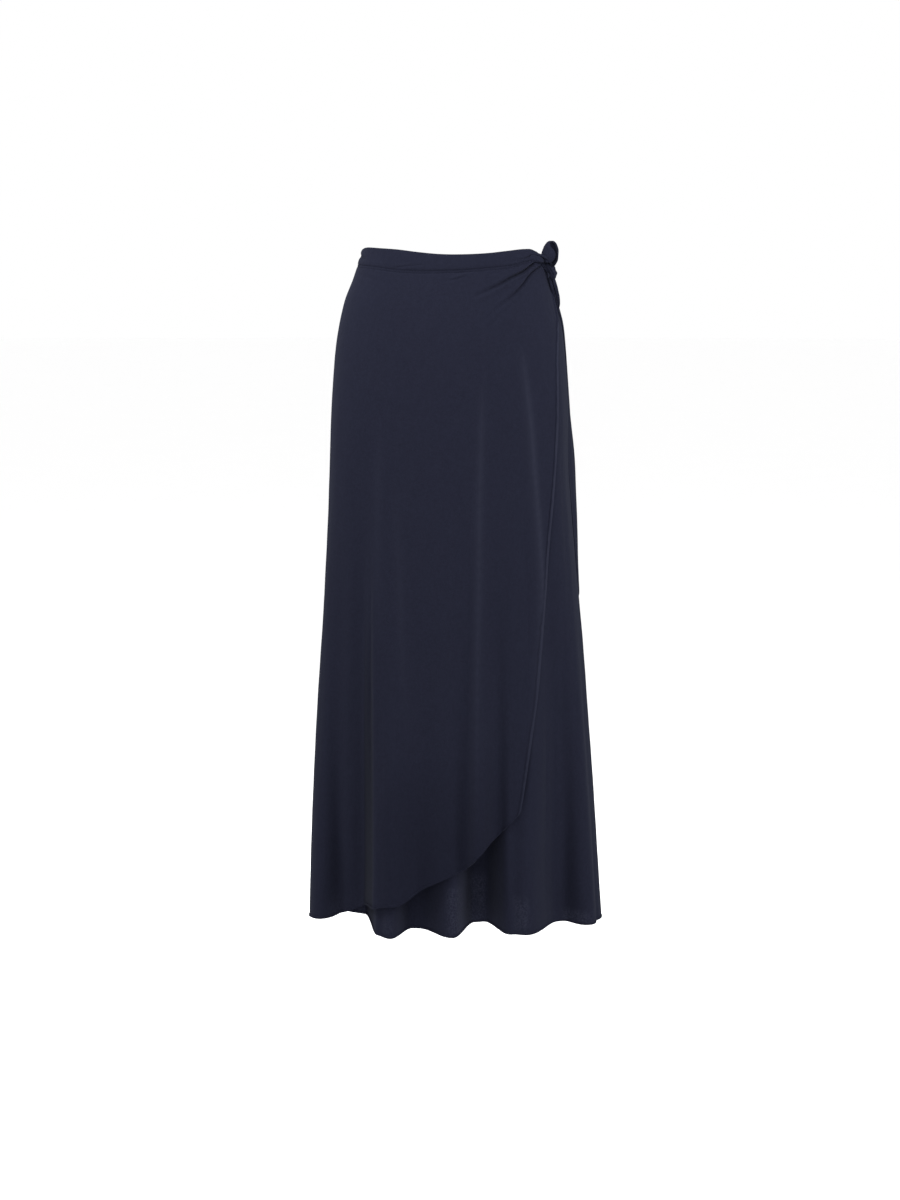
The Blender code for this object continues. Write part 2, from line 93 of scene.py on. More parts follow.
# The figure and the folds that hang from it.
HEM_DROP = 0.96  # where the folds have their full reach
FOLD_GROWTH = 1.7  # how fast a fold deepens on its way down
HELD_UPRIGHT = 0.033  # how much the sections square off below the hips, so that the folds hang upright
SQUARED_WAIST = 0.35  # the share of it that the waist has
SQUARED_FULLY = 0.30  # the drop at which it is whole
SQUARING_FADE = 4  # how late on the way round to a side it fades out
FOLDS_AHEAD = 45.0  # up to this bearing the folds stand out straight ahead
FOLDS_TURNED = 95.0  # and from here straight sideways
RESTING_BLEND = 0.004  # how softly the overlap leaves one of the underlap's crests for the next
RESTING_FROM = 0.20  # the drop where it starts to
RESTING_WHOLE = 0.70
RESTING_BESIDE_SEAM = 12.0  # degrees from the plain side seam over which it comes to rest on the underlap

# Bearings round the ring.
FULL_TURN = 360.0
SIDE_SEAM = 95.0  # of the side seams, just behind the sides
BEYOND_BACK = FULL_TURN - SIDE_SEAM  # of the plain side's seam, counted on past the back
BEFORE_SEAM = SIDE_SEAM + SEAM_OVERLAP
AFTER_SEAM = SIDE_SEAM - SEAM_OVERLAP
BAND_END = 55.0  # where the overlap's waistband runs into the knot
UNDERLAP_EDGE = -76.0  # of the underlap's free edge, inside the plain side
LEVEL_WITH_BACK = 66.0  # from here the underlap comes out level with the back
SQUEEZE_FROM = 5.0  # the overlap's columns beyond it close up towards the slanting edge
SEWN_TO = 44.0  # the stitches along the waist seam press in less from here, and run out by the knot
SEWN_OUT = 50.0

# Drops of the free edge's stretches.
EDGE_LIFTS_FROM = 0.03
EDGE_LIFTS_BY = 0.07
EDGE_SINKS_FROM = 0.06
EDGE_SINKS_BY = 0.11
EDGE_HIGHLIGHT_FROM = 0.09
EDGE_TURNS = 0.735  # where the upright free edge turns into the slanting hem
EDGE_TURNED = 0.765

# The fineness of the shells.
PANEL_ROWS = 230
PANEL_COLUMNS = 200
COLUMNS_TO_EDGE = 122  # of the overlap's columns, those beyond SQUEEZE_FROM
COLUMN_SAMPLES = 1200
ROW_SAMPLES = 1000
WAIST_ROWS = 14.0  # how much closer the rows lie at the waist than at the hem
WAIST_SHARE = 0.10  # the share of a panel's length where they do
HEM_STEPS = (0.0056, 0.0045, 0.0038, 0.0032, 0.0024, 0.0012, 0.0004, 0.0)  # lines from a hem's edge
EVEN_AT_OVERLAP = 0.8  # the drop where the overlap's columns are equally far apart
EVEN_AT = 0.9  # and where the other panels' are
BAND_ROWS = 36
BAND_COLUMNS = 280
TAIL_ROWS = 300
TAIL_COLUMNS = 20
LOOP_ROWS = 130
LOOP_COLUMNS = 18
TURN_RINGS = 64
TURN_SIDES = 40
RIM_STEPS = 5
STITCH_SIDES = 6
STITCH_RINGS = 5
BAND_STITCH_SAMPLES = 400
HEM_STITCH_SAMPLES = 600
RIM_WELD = 2e-6  # the two faces of a folded strip are one within this distance, at its rims

# The folded waistband.
BAND_RIM = 0.06  # the share of its height that its folded top rounds over
BAND_FULLNESS = 0.0008  # how far its middle stands out
BAND_FLATTENED = 0.45  # how much of its wall is pressed flat by the waist seam
BAND_FLATTENS_FROM = 0.72  # from this share of its height down
BAND_FLATTENS_BY = 0.94
BAND_TAPER = 0.2  # degrees over which each end closes

# The figure's sections: how far the cloth stands from the axis on each side.
Section = namedtuple("Section", "drop plain_side knot_side front back")
SECTIONS = (
    Section(-0.030, 0.1270, 0.1290, 0.0970, 0.0985),
    Section(-0.013, 0.1290, 0.1315, 0.0975, 0.1000),
    Section(0.000, 0.1312, 0.1336, 0.0985, 0.1020),
    Section(0.013, 0.1366, 0.1346, 0.1000, 0.1045),
    Section(0.030, 0.1425, 0.1352, 0.1030, 0.1085),
    Section(0.060, 0.1543, 0.1408, 0.1075, 0.1170),
    Section(0.090, 0.1617, 0.1492, 0.1105, 0.1250),
    Section(0.120, 0.1669, 0.1535, 0.1125, 0.1310),
    Section(0.160, 0.1709, 0.1572, 0.1135, 0.1360),
    Section(0.220, 0.1749, 0.1602, 0.1140, 0.1390),
    Section(0.290, 0.1776, 0.1608, 0.1142, 0.1400),
    Section(0.370, 0.1804, 0.1668, 0.1147, 0.1410),
    Section(0.450, 0.1850, 0.1738, 0.1155, 0.1430),
    Section(0.540, 0.1904, 0.1822, 0.1165, 0.1470),
    Section(0.640, 0.1969, 0.1905, 0.1175, 0.1530),
    Section(0.740, 0.2027, 0.1985, 0.1185, 0.1600),
    Section(0.860, 0.2090, 0.2068, 0.1195, 0.1690),
    Section(0.990, 0.2142, 0.2145, 0.1205, 0.1790),
)
WIDEST = SECTIONS[-2]

# Crests and troughs of the folds, once round: reach is how far each stands out of the section at the hem,
# and begins is the drop where it starts to show.
Fold = namedtuple("Fold", "bearing reach begins")
BACK_AND_SIDE_FOLDS = (
    Fold(90, 0.002, 0.30),
    Fold(103, -0.017, 0.34),
    Fold(115, 0.009, 0.30),
    Fold(121, 0.006, 0.30),
    Fold(131, -0.024, 0.24),
    Fold(142, 0.024, 0.22),
    Fold(147, 0.022, 0.22),
    Fold(158, -0.020, 0.20),
    Fold(169, 0.020, 0.24),
    Fold(180, -0.008, 0.30),
)
BACK_FOLDS_PLAIN_SIDE = (
    Fold(-180, -0.008, 0.30),
    Fold(-171, 0.014, 0.26),
    Fold(-158, -0.026, 0.22),
    Fold(-147, 0.026, 0.20),
    Fold(-141, 0.022, 0.22),
    Fold(-130, -0.018, 0.28),
    Fold(-120, 0.012, 0.34),
    Fold(-106, -0.022, 0.28),
    Fold(-90, 0.000, 0.30),
)
UNDERLAP_FOLDS = (
    *BACK_FOLDS_PLAIN_SIDE,
    Fold(-72, -0.004, 0.34),
    Fold(-50, -0.062, 0.30),
    Fold(-38.3, -0.070, 0.26),
    Fold(-31.4, 0.024, 0.22),
    Fold(-26.4, 0.033, 0.22),
    Fold(-16.5, -0.031, 0.34),
    Fold(-13.8, -0.032, 0.34),
    Fold(-1, 0.016, 0.28),
    Fold(7.6, -0.062, 0.36),
    Fold(11.3, -0.063, 0.36),
    Fold(22.3, 0.012, 0.26),
    Fold(30, 0.022, 0.24),
    Fold(44.5, -0.033, 0.32),
    Fold(47.5, -0.032, 0.34),
    Fold(66, 0.014, 0.30),
    Fold(78, 0.003, 0.30),
    *BACK_AND_SIDE_FOLDS,
)
OVERLAP_FOLDS = (
    *BACK_FOLDS_PLAIN_SIDE,
    Fold(-72, 0.000, 0.34),
    Fold(-52, -0.052, 0.30),
    Fold(-39, -0.060, 0.26),
    Fold(-32.3, 0.028, 0.22),
    Fold(-25, 0.036, 0.22),
    Fold(-13, 0.006, 0.26),
    Fold(-5, 0.014, 0.24),
    Fold(3.5, 0.006, 0.24),
    Fold(9, 0.028, 0.18),
    Fold(17, -0.002, 0.22),
    Fold(26, 0.014, 0.16),
    Fold(34, 0.010, 0.18),
    Fold(45, -0.012, 0.24),
    Fold(62, 0.006, 0.30),
    Fold(78, 0.000, 0.30),
    *BACK_AND_SIDE_FOLDS,
)

# Creases: troughs pressed into the cloth along a line of bearings and drops. Lip is how far the cloth
# stands up beside the trough, as a share of its depth. A pulled crease is deepest at its first end, by the
# knot, and a slack one fades out at both ends. A crease of negative depth is a ridge.
CREASE_STEPS = 48  # points along a crease's line
CREASE_REACH = 5.0  # how far from its line a crease is felt, in its own widths
CREASE_SHARPNESS = 1.4  # 2 would be a round-bottomed trough, and 1 a sharp one
LIP_PLACE = 1.9  # how far from the line the lips stand, in widths
LIP_WIDTH = 1.2
LOWER_LIP = 0.5  # the lip on the crease's other side, as a share of the first
PAST_END = 2.0  # how far past its ends a crease runs out, in widths
PULLED_START = 0.06  # the share of its length in which a pulled crease deepens
PULLED_FADE = 1.5  # how late on its length it fades
PULLED_WIDENING = 0.8  # how much wider it is at its far end
SLACK_FADE = 0.8
Crease = namedtuple("Crease", "pulled depth width lip line")
CREASES = (
    # From the knot across the hip.
    Crease(True, 0.0062, 0.0012, 0.34, (
        (59.5, 0.0105), (50.4, 0.0182), (44.7, 0.0263), (40.7, 0.0349), (37.3, 0.0414), (32.4, 0.0500),
        (26.9, 0.0591), (20.0, 0.0719), (11.9, 0.0915))),
    Crease(True, 0.0076, 0.0015, 0.32, (
        (51.5, 0.0070), (44.9, 0.0144), (40.6, 0.0198), (31.4, 0.0284), (23.3, 0.0380), (15.0, 0.0476),
        (7.6, 0.0564))),
    Crease(True, 0.0038, 0.0011, 0.45, (
        (56.0, -0.0038), (52.7, -0.0034), (46.6, -0.0014), (42.9, 0.0014), (38.5, 0.0035), (30.0, 0.0062))),
    Crease(False, 0.0005, 0.0022, 0.60, ((45.0, 0.0060), (37.0, 0.0118), (27.0, 0.0190), (16.0, 0.0260))),
    Crease(False, 0.0006, 0.0032, 0.20, ((44.0, 0.0360), (34.0, 0.0560), (24.0, 0.0760), (12.0, 0.1050))),
    # Small wrinkles below and on the waistband.
    Crease(False, -0.0007, 0.0014, 0.50, ((-3.0, 0.0290), (0.5, 0.0262), (4.5, 0.0232), (9.0, 0.0215))),
    Crease(False, 0.0006, 0.0016, 0.40, ((-5.0, 0.0330), (0.0, 0.0300), (6.0, 0.0262))),
    Crease(False, 0.0006, 0.0014, 0.50, ((-36.0, 0.0152), (-27.5, 0.0128), (-16.0, 0.0104))),
    Crease(False, 0.0007, 0.0030, 0.30, ((-74.0, 0.0230), (-60.0, 0.0260), (-44.0, 0.0330))),
    Crease(False, 0.0030, 0.0026, 0.25, (
        (-97.0, -0.0012), (-90.0, -0.0010), (-82.0, 0.0000), (-72.0, 0.0018), (-62.0, 0.0040))),
    # Long soft lines of the front.
    Crease(False, 0.0038, 0.0034, 0.30, ((-34.6, 0.400), (-34.8, 0.560), (-34.9, 0.700), (-35.0, 1.000))),
    Crease(False, -0.0012, 0.0050, 0.00, ((-30.0, 0.2200), (-31.2, 0.3600), (-31.0, 0.5400))),
    Crease(False, -0.0010, 0.0060, 0.00, ((-23.5, 0.3000), (-21.4, 0.4700), (-19.0, 0.6600))),
    Crease(False, 0.0014, 0.0034, 0.40, ((7.2, 0.3000), (6.2, 0.4683), (5.4, 0.6400), (5.2, 0.8700))),
    Crease(False, -0.0026, 0.0055, 0.00, (
        (11.6, 0.1700), (10.9, 0.2300), (9.8, 0.3300), (8.9, 0.4680), (8.2, 0.6400), (7.9, 0.8400))),
    Crease(False, 0.0012, 0.0050, 0.30, ((25.0, 0.2600), (28.5, 0.4000), (29.5, 0.5600), (28.0, 0.7400))),
    Crease(False, -0.0040, 0.0055, 0.00, (
        (32.0, 0.1200), (32.2, 0.1670), (33.6, 0.2490), (35.6, 0.3570), (36.1, 0.4720), (33.5, 0.6120),
        (30.0, 0.7200))),
    Crease(False, 0.0022, 0.0026, 0.40, ((18.8, 0.7800), (18.3, 0.8719), (17.9, 0.9700))),
    Crease(False, 0.0014, 0.0032, 0.40, ((40.0, 0.6200), (39.4, 0.7600), (38.6, 0.9600))),
    # The same kinds on the sides and the back.
    Crease(True, 0.0022, 0.0022, 0.45, ((92.0, 0.0180), (104.0, 0.0290), (117.0, 0.0440), (132.0, 0.0640))),
    Crease(True, 0.0016, 0.0026, 0.45, ((92.0, 0.0260), (101.0, 0.0480), (110.0, 0.0760), (117.0, 0.1080))),
    Crease(False, 0.0009, 0.0030, 0.40, ((150.0, 0.033), (165.0, 0.040), (184.0, 0.042), (204.0, 0.037))),
    Crease(False, 0.0008, 0.0034, 0.40, ((214.0, 0.0300), (228.0, 0.0420), (240.0, 0.0600))),
    Crease(False, 0.0016, 0.0034, 0.40, ((136.0, 0.340), (137.5, 0.520), (138.0, 0.720), (138.0, 0.950))),
    Crease(False, 0.0015, 0.0034, 0.40, ((164.0, 0.4200), (163.4, 0.6000), (163.0, 0.9700))),
    Crease(False, 0.0016, 0.0036, 0.40, ((208.0, 0.3000), (207.0, 0.5000), (206.5, 0.9000))),
    Crease(False, 0.0014, 0.0034, 0.40, ((235.0, 0.4400), (234.4, 0.6600), (234.0, 0.9600))),
)

# Heights of the waistband's edges round the ring. The front dips, and the overlap's band narrows towards
# the knot.
BandEdge = namedtuple("BandEdge", "bearing top seam")
OVERLAP_BAND = (
    BandEdge(-96, 0.0062, -0.0118),
    BandEdge(-84, 0.0098, -0.0120),
    BandEdge(-70, 0.0128, -0.0128),
    BandEdge(-48, 0.0120, -0.0150),
    BandEdge(-33, 0.0100, -0.0185),
    BandEdge(-22, 0.0070, -0.0202),
    BandEdge(-8, 0.0040, -0.0200),
    BandEdge(8, 0.0040, -0.0182),
    BandEdge(18, 0.0054, -0.0161),
    BandEdge(30, 0.0084, -0.0132),
    BandEdge(42, 0.0108, -0.0075),
    BandEdge(48, 0.0105, -0.0050),
    BandEdge(53, 0.0068, -0.0035),
    BandEdge(59, 0.0028, -0.0030),
    BandEdge(66, 0.0000, -0.0060),
)
UNDERLAP_BAND = (
    BandEdge(-80, 0.0060, -0.0160),
    BandEdge(-60, 0.0085, -0.0170),
    BandEdge(-38, 0.0070, -0.0205),
    BandEdge(-12, 0.0010, -0.0230),
    BandEdge(12, 0.0010, -0.0210),
    BandEdge(33, 0.0050, -0.0170),
    BandEdge(46, 0.0060, -0.0150),
    BandEdge(56, 0.0042, -0.0150),
    BandEdge(72, 0.0035, -0.0165),
    BandEdge(96, 0.0050, -0.0185),
)
BACK_BAND = (
    BandEdge(94, 0.0050, -0.0185),
    BandEdge(120, 0.0035, -0.0205),
    BandEdge(150, 0.0010, -0.0230),
    BandEdge(180, 0.0000, -0.0240),
    BandEdge(210, 0.0030, -0.0210),
    BandEdge(240, 0.0070, -0.0165),
    BandEdge(266, 0.0062, -0.0120),
)

# Hems: how far down each panel reaches, and the overlap's slanting free edge.
HemPoint = namedtuple("HemPoint", "bearing drop")
OVERLAP_HEM = (
    HemPoint(-96, 0.957),
    HemPoint(-75, 0.948),
    HemPoint(-60, 0.945),
    HemPoint(-49, 0.940),
    HemPoint(-42.5, 0.933),
    HemPoint(-38.4, 0.926),
    HemPoint(-34, 0.911),
    HemPoint(-29, 0.904),
    HemPoint(-20, 0.897),
    HemPoint(-12, 0.879),
    HemPoint(-2, 0.860),
    HemPoint(4, 0.850),
    HemPoint(9.6, 0.829),
    HemPoint(14.6, 0.813),
    HemPoint(18, 0.804),
    HemPoint(22, 0.789),
    HemPoint(25, 0.778),
    HemPoint(26.6, 0.766),
)
UNDERLAP_HEM = (
    HemPoint(-80, 0.940),
    HemPoint(-50, 0.942),
    HemPoint(-28, 0.948),
    HemPoint(0, 0.948),
    HemPoint(30, 0.947),
    HemPoint(60, 0.950),
    HemPoint(96, 0.957),
)
BACK_HEM = (
    HemPoint(94, 0.957),
    HemPoint(110, 0.963),
    HemPoint(130, 0.962),
    HemPoint(180, 0.964),
    HemPoint(230, 0.960),
    HemPoint(266, 0.957),
)
FreeEdge = namedtuple("FreeEdge", "drop bearing")
OVERLAP_EDGE = (
    FreeEdge(0.000, 63.0),
    FreeEdge(0.011, 64.0),
    FreeEdge(0.032, 69.0),
    FreeEdge(0.052, 73.0),
    FreeEdge(0.069, 72.5),
    FreeEdge(0.091, 66.5),
    FreeEdge(0.127, 59.6),
    FreeEdge(0.182, 54.4),
    FreeEdge(0.237, 51.7),
    FreeEdge(0.306, 48.0),
    FreeEdge(0.385, 42.1),
    FreeEdge(0.431, 39.4),
    FreeEdge(0.526, 36.0),
    FreeEdge(0.612, 33.5),
    FreeEdge(0.687, 30.3),
    FreeEdge(0.748, 27.6),
    FreeEdge(0.767, 26.6),
    FreeEdge(1.000, 26.6),
)

# The unevenness that hanging crepe has: ripples, each with a swell that strengthens and fades it. Round and
# down are how fast they go with the turn, in radians, and the drop, in metres.
Ripple = namedtuple("Ripple", "height round down start swell_round swell_down swell_start")
SLACK_RIPPLES = (
    Ripple(0.0011, 7, 5, 0.6, 0, 3.1, 1.2),
    Ripple(0.0007, 17, -7, 2.1, 5, 6, 0.0),
    Ripple(0.0003, 31, 9, 0.0, -4, 13, 0.8),
)
FINE_RIPPLE = Ripple(0.00016, 53, 60, 1.0, -11, 47, 0.0)
TAUT_SHARE = 0.15  # the share of the slack ripples that the cloth held at the waist has
SLACK_FROM = 0.03  # the drops between which the cloth comes slack
SLACK_BY = 0.58

# Patches near the hem of the underlap with painted light: light through a single layer of cloth, which also
# lifts the shade of deep valleys.
PATCH_SIDES = 4  # how square a patch's sides are
PATCH_FOOT = 0.012  # how softly its foot fades
PaintedLightPatch = namedtuple("PaintedLightPatch", "bearing half_width top soft_top foot strength")
PAINTED_LIGHT_PATCHES = (
    PaintedLightPatch(-56.0, 8.0, 0.900, 0.040, 0.950, 0.6),
    PaintedLightPatch(-41.0, 2.5, 0.915, 0.020, 0.940, 0.5),
    PaintedLightPatch(-27.0, 2.5, 0.908, 0.020, 0.940, 0.6),
    PaintedLightPatch(-8.7, 2.0, 0.915, 0.020, 0.940, 0.3),
    PaintedLightPatch(0.0, 3.4, 0.872, 0.012, 0.940, 0.9),
    PaintedLightPatch(8.8, 4.2, 0.862, 0.020, 0.945, 1.0),
    PaintedLightPatch(27.0, 3.4, 0.893, 0.006, 0.935, 0.9),
    PaintedLightPatch(57.0, 10.0, 0.928, 0.008, 0.946, 1.0),
)

# Stretches of cloth with painted shade: a darker colour where little light reaches.
Shade = namedtuple("Shade", "bearing half_width top soft_top strength")
SHADE_SIDES = 8  # how square a shade's sides are
DEEP_FOLD = Shade(-36.0, 2.6, 0.25, 0.55, 0.74)  # painted shade on the far side of the deepest fold
LOWER_MIDDLE = Shade(-5.0, 30.0, 0.46, 0.40, 0.43)  # painted half shade on the overlap's lower middle

# Stretches with a painted highlight, where the cloth catches the light.
BRIGHTEST_RIDGE = 0.0046  # the height of a ridge whose crest gets the full painted highlight
EDGE_HIGHLIGHT = 0.9
EDGE_HIGHLIGHT_LOST = 0.4  # how much of the edge's painted highlight fades on its way down
EDGE_HIGHLIGHT_FADES_FROM = 0.50
EDGE_HIGHLIGHT_FADES_BY = 0.80

# The ties lie on the figure. Each row is a point of a hanging end's middle line, with how far its front and
# rear edges stand off the underlap.
TieRow = namedtuple("TieRow", "drop bearing width front_lift rear_lift")
LONG_TAIL = (
    TieRow(0.0295, 67, 0.0080, 0.0078, 0.0078),
    TieRow(0.0450, 76, 0.0110, 0.0056, 0.0050),
    TieRow(0.0700, 86, 0.0150, 0.0024, 0.0020),
    TieRow(0.1150, 94, 0.0200, 0.0020, 0.0018),
    TieRow(0.1700, 97, 0.0230, 0.0020, 0.0020),
    TieRow(0.2280, 98, 0.0250, 0.0022, 0.0066),
    TieRow(0.2850, 98, 0.0260, 0.0024, 0.0128),
    TieRow(0.3420, 98, 0.0260, 0.0024, 0.0120),
    TieRow(0.4000, 98, 0.0260, 0.0024, 0.0092),
    TieRow(0.4400, 97.5, 0.0250, 0.0024, 0.0056),
    TieRow(0.4820, 97, 0.0230, 0.0022, 0.0030),
)

# The knot's turns. Each row is a point of a turn's middle line, and width and girth are its size there.
Turn = namedtuple("Turn", "bearing drop lift width girth")
KNOT_TURNS = {
    "core": (
        Turn(59.0, 0.0040, -0.0004, 0.0080, 0.0036),
        Turn(61.0, 0.0090, 0.0012, 0.0100, 0.0044),
        Turn(63.4, 0.0140, 0.0036, 0.0100, 0.0060),
        Turn(65.6, 0.0210, 0.0056, 0.0080, 0.0070),
    ),
    "strap": (
        Turn(45.5, -0.0056, 0.0010, 0.0060, 0.0016),
        Turn(49.5, -0.0046, 0.0022, 0.0052, 0.0022),
        Turn(52.6, -0.0032, 0.0042, 0.0042, 0.0028),
        Turn(55.5, -0.0012, 0.0072, 0.0036, 0.0030),
        Turn(57.4, 0.0014, 0.0098, 0.0034, 0.0030),
        Turn(58.8, 0.0041, 0.0114, 0.0034, 0.0030),
        Turn(60.6, 0.0070, 0.0120, 0.0036, 0.0030),
        Turn(62.6, 0.0100, 0.0110, 0.0040, 0.0030),
        Turn(64.2, 0.0128, 0.0086, 0.0040, 0.0028),
    ),
    "lip": (
        Turn(45.0, 0.0004, 0.0010, 0.0080, 0.0018),
        Turn(49.5, 0.0014, 0.0020, 0.0090, 0.0028),
        Turn(52.5, 0.0028, 0.0036, 0.0086, 0.0038),
        Turn(55.0, 0.0042, 0.0044, 0.0074, 0.0042),
        Turn(57.0, 0.0053, 0.0040, 0.0054, 0.0038),
        Turn(58.6, 0.0061, 0.0024, 0.0034, 0.0030),
        Turn(59.8, 0.0066, 0.0004, 0.0016, 0.0018),
    ),
    "throat": (
        Turn(60.8, 0.0082, 0.0040, 0.0040, 0.0040),
        Turn(62.2, 0.0110, 0.0062, 0.0070, 0.0060),
        Turn(64.4, 0.0150, 0.0080, 0.0106, 0.0086),
        Turn(66.4, 0.0195, 0.0086, 0.0124, 0.0096),
        Turn(67.6, 0.0235, 0.0086, 0.0126, 0.0096),
        Turn(68.4, 0.0275, 0.0074, 0.0112, 0.0082),
        Turn(69.2, 0.0305, 0.0054, 0.0076, 0.0052),
    ),
}
SHORT_STRANDS = (
    (
        Turn(68.6, 0.0270, 0.0070, 0.0064, 0.0040),
        Turn(70.6, 0.0357, 0.0078, 0.0070, 0.0046),
        Turn(72.6, 0.0440, 0.0078, 0.0070, 0.0046),
        Turn(75.0, 0.0523, 0.0070, 0.0066, 0.0044),
        Turn(77.4, 0.0606, 0.0056, 0.0058, 0.0040),
        Turn(79.6, 0.0700, 0.0034, 0.0040, 0.0026),
    ),
    (
        Turn(67.0, 0.0275, 0.0036, 0.0064, 0.0040),
        Turn(69.2, 0.0360, 0.0036, 0.0070, 0.0044),
        Turn(71.6, 0.0440, 0.0034, 0.0070, 0.0044),
        Turn(74.0, 0.0530, 0.0028, 0.0066, 0.0044),
        Turn(76.6, 0.0610, 0.0022, 0.0060, 0.0040),
        Turn(79.0, 0.0700, 0.0016, 0.0050, 0.0032),
    ),
)

# The loop goes up in front and comes down behind. Rise is its height above the knot, depth how far behind
# the knot it lies, and left and right how far its two rims stand from the middle.
LoopRow = namedtuple("LoopRow", "length rise depth left right")
LOOP = (
    LoopRow(0.00, 0.0010, -0.0004, 0.0050, 0.0010),
    LoopRow(0.08, 0.0050, -0.0016, 0.0108, 0.0062),
    LoopRow(0.20, 0.0110, -0.0024, 0.0123, 0.0086),
    LoopRow(0.31, 0.0180, -0.0026, 0.0104, 0.0066),
    LoopRow(0.41, 0.0245, -0.0030, 0.0068, 0.0008),
    LoopRow(0.48, 0.0288, -0.0016, 0.0032, 0.0006),
    LoopRow(0.54, 0.0300, 0.0010, 0.0012, 0.0038),
    LoopRow(0.62, 0.0268, 0.0028, 0.0012, 0.0084),
    LoopRow(0.71, 0.0200, 0.0028, 0.0030, 0.0118),
    LoopRow(0.82, 0.0115, 0.0024, 0.0050, 0.0122),
    LoopRow(0.92, 0.0030, 0.0020, 0.0050, 0.0108),
    LoopRow(1.00, -0.0040, 0.0010, 0.0040, 0.0055),
)
LOOP_FOOT = (61.2, 0.0090, 0.0105)  # the bearing, drop and lift of the point it stands on
LOOP_TURN = 70.0  # the loop's hollow faces this far round from straight ahead
LOOP_RIM = 0.10
LOOP_BELLY = 0.0044  # how far each side of the loop bellies out
LOOP_PLEAT = 0.0004
LOOP_PLEATS = 2.2  # waves across the strip
LOOP_PLEAT_TWIST = 0.6  # and how far they drift across on its way round
LOOP_CURL = 0.0045  # how far the rear rim curls over
LOOP_CURL_RIM = 6  # how close to the rim the curl keeps
LOOP_CURLS = (0.55, 0.67)  # the shares of its length between which the curl grows
LOOP_UNCURLS = (0.92, 1.02)  # and goes
LOOP_TAPER = 0.02

# The long hanging end. Shares are of its length, apart from the rim's.
TAIL_RIM = 0.08
TAIL_REST = 0.0008  # how near its front edge comes to rest on the hip
TAIL_RESTS_BY = 0.12
TAIL_PLEAT = 0.0008
TAIL_PLEATS = 1.4  # waves across the strip
TAIL_PLEATED_BY = 0.08
TAIL_SWAY = 0.5  # how far the pleats wander across, in waves
TAIL_SWAY_RATE = 2.6
TAIL_SWAY_START = 0.4
TAIL_SPREAD = 1.6  # how late across the strip it turns outward
TAIL_TAPER = 0.01

# The turns of the knot and the strands of the short end.
TURN_TIP = 0.12  # the share of a turn's length in which each end closes
TIP_LEAST = 0.02  # the share of its girth left at its very ends
WRINKLES = 24  # how fast the wrinkles across a turn follow each other
WRINKLE_SWAY = 1.5
THROAT_WRINKLE = 0.10  # how deep they are, as a share of the girth
TURN_WRINKLE = 0.03
STRAND_WRINKLE = 0.02
Groove = namedtuple("Groove", "depth count twist")
GROOVES = (
    Groove(0.10, 5, 3),
    Groove(0.05, 11, -4),
)

# The rows of stitches: how far the free edge's run down, and how far round the overlap's hem's.
EDGE_STITCHED_FROM = 0.02
EDGE_STITCHED_TO = 0.76
HEM_STITCHED_TO = 26.0
NORMAL_STEP = 0.0006  # how far apart a face is felt for its normal, down
NORMAL_ANGLE = 0.3  # and round, in degrees


# ---- The figure and its cloth ----


def smooth_through(marks, values, at):
    """A smooth curve through a table's rows, in cubic pieces whose slopes come from the rows beside them."""
    marks, values = np.asarray(marks, float), np.asarray(values, float)
    at = np.clip(at, marks[0], marks[-1])
    slopes = np.gradient(values, marks)
    i = np.clip(np.searchsorted(marks, at, side="right") - 1, 0, len(marks) - 2)
    span = marks[i + 1] - marks[i]
    t = (at - marks[i]) / span
    return (
        (1 + 2 * t) * (1 - t) ** 2 * values[i]
        + t * (1 - t) ** 2 * span * slopes[i]
        + t**2 * (3 - 2 * t) * values[i + 1]
        + t**2 * (t - 1) * span * slopes[i + 1]
    )


def column(table, name):
    return [getattr(row, name) for row in table]


def along(table, name, at):
    """A table's column as a smooth function of its first column."""
    return smooth_through(column(table, table[0]._fields[0]), column(table, name), at)


def ease(t):
    """From 0 to 1 with no slope at either end."""
    t = np.clip(t, 0, 1)
    return (1 - np.cos(math.pi * t)) / 2


def eased(value, start, end):
    """From 0 where a value passes start to 1 where it passes end."""
    return ease((value - start) / (end - start))


def bump(away, width, squareness=2):
    """1 in the middle, fading out about a width away from it."""
    return np.exp(-((away / width) ** squareness))


def wrapped(bearing):
    """The same bearing, counted from the front's middle and not on past the back."""
    return (bearing + FULL_TURN / 2) % FULL_TURN - FULL_TURN / 2


def before_back_seam(bearing):
    """Bearings past the back's far side seam, counted from the plain side."""
    return np.where(bearing > BEYOND_BACK, bearing - FULL_TURN, bearing)


def fold_reach(folds, bearing, drop):
    """How far the folds stand out here, easing from each crest or trough to the next."""
    marks = np.array(column(folds, "bearing"), float)
    reach = np.array(column(folds, "reach"))
    begins = np.array(column(folds, "begins"))
    bearing = wrapped(bearing)
    i = np.clip(np.searchsorted(marks, bearing, side="right") - 1, 0, len(marks) - 2)

    def at_row(k):
        grown = np.clip((drop - begins[k]) / (HEM_DROP - begins[k]), 0, None)
        return reach[k] * grown**FOLD_GROWTH

    share = ease((bearing - marks[i]) / (marks[i + 1] - marks[i]))
    return at_row(i) * (1 - share) + at_row(i + 1) * share


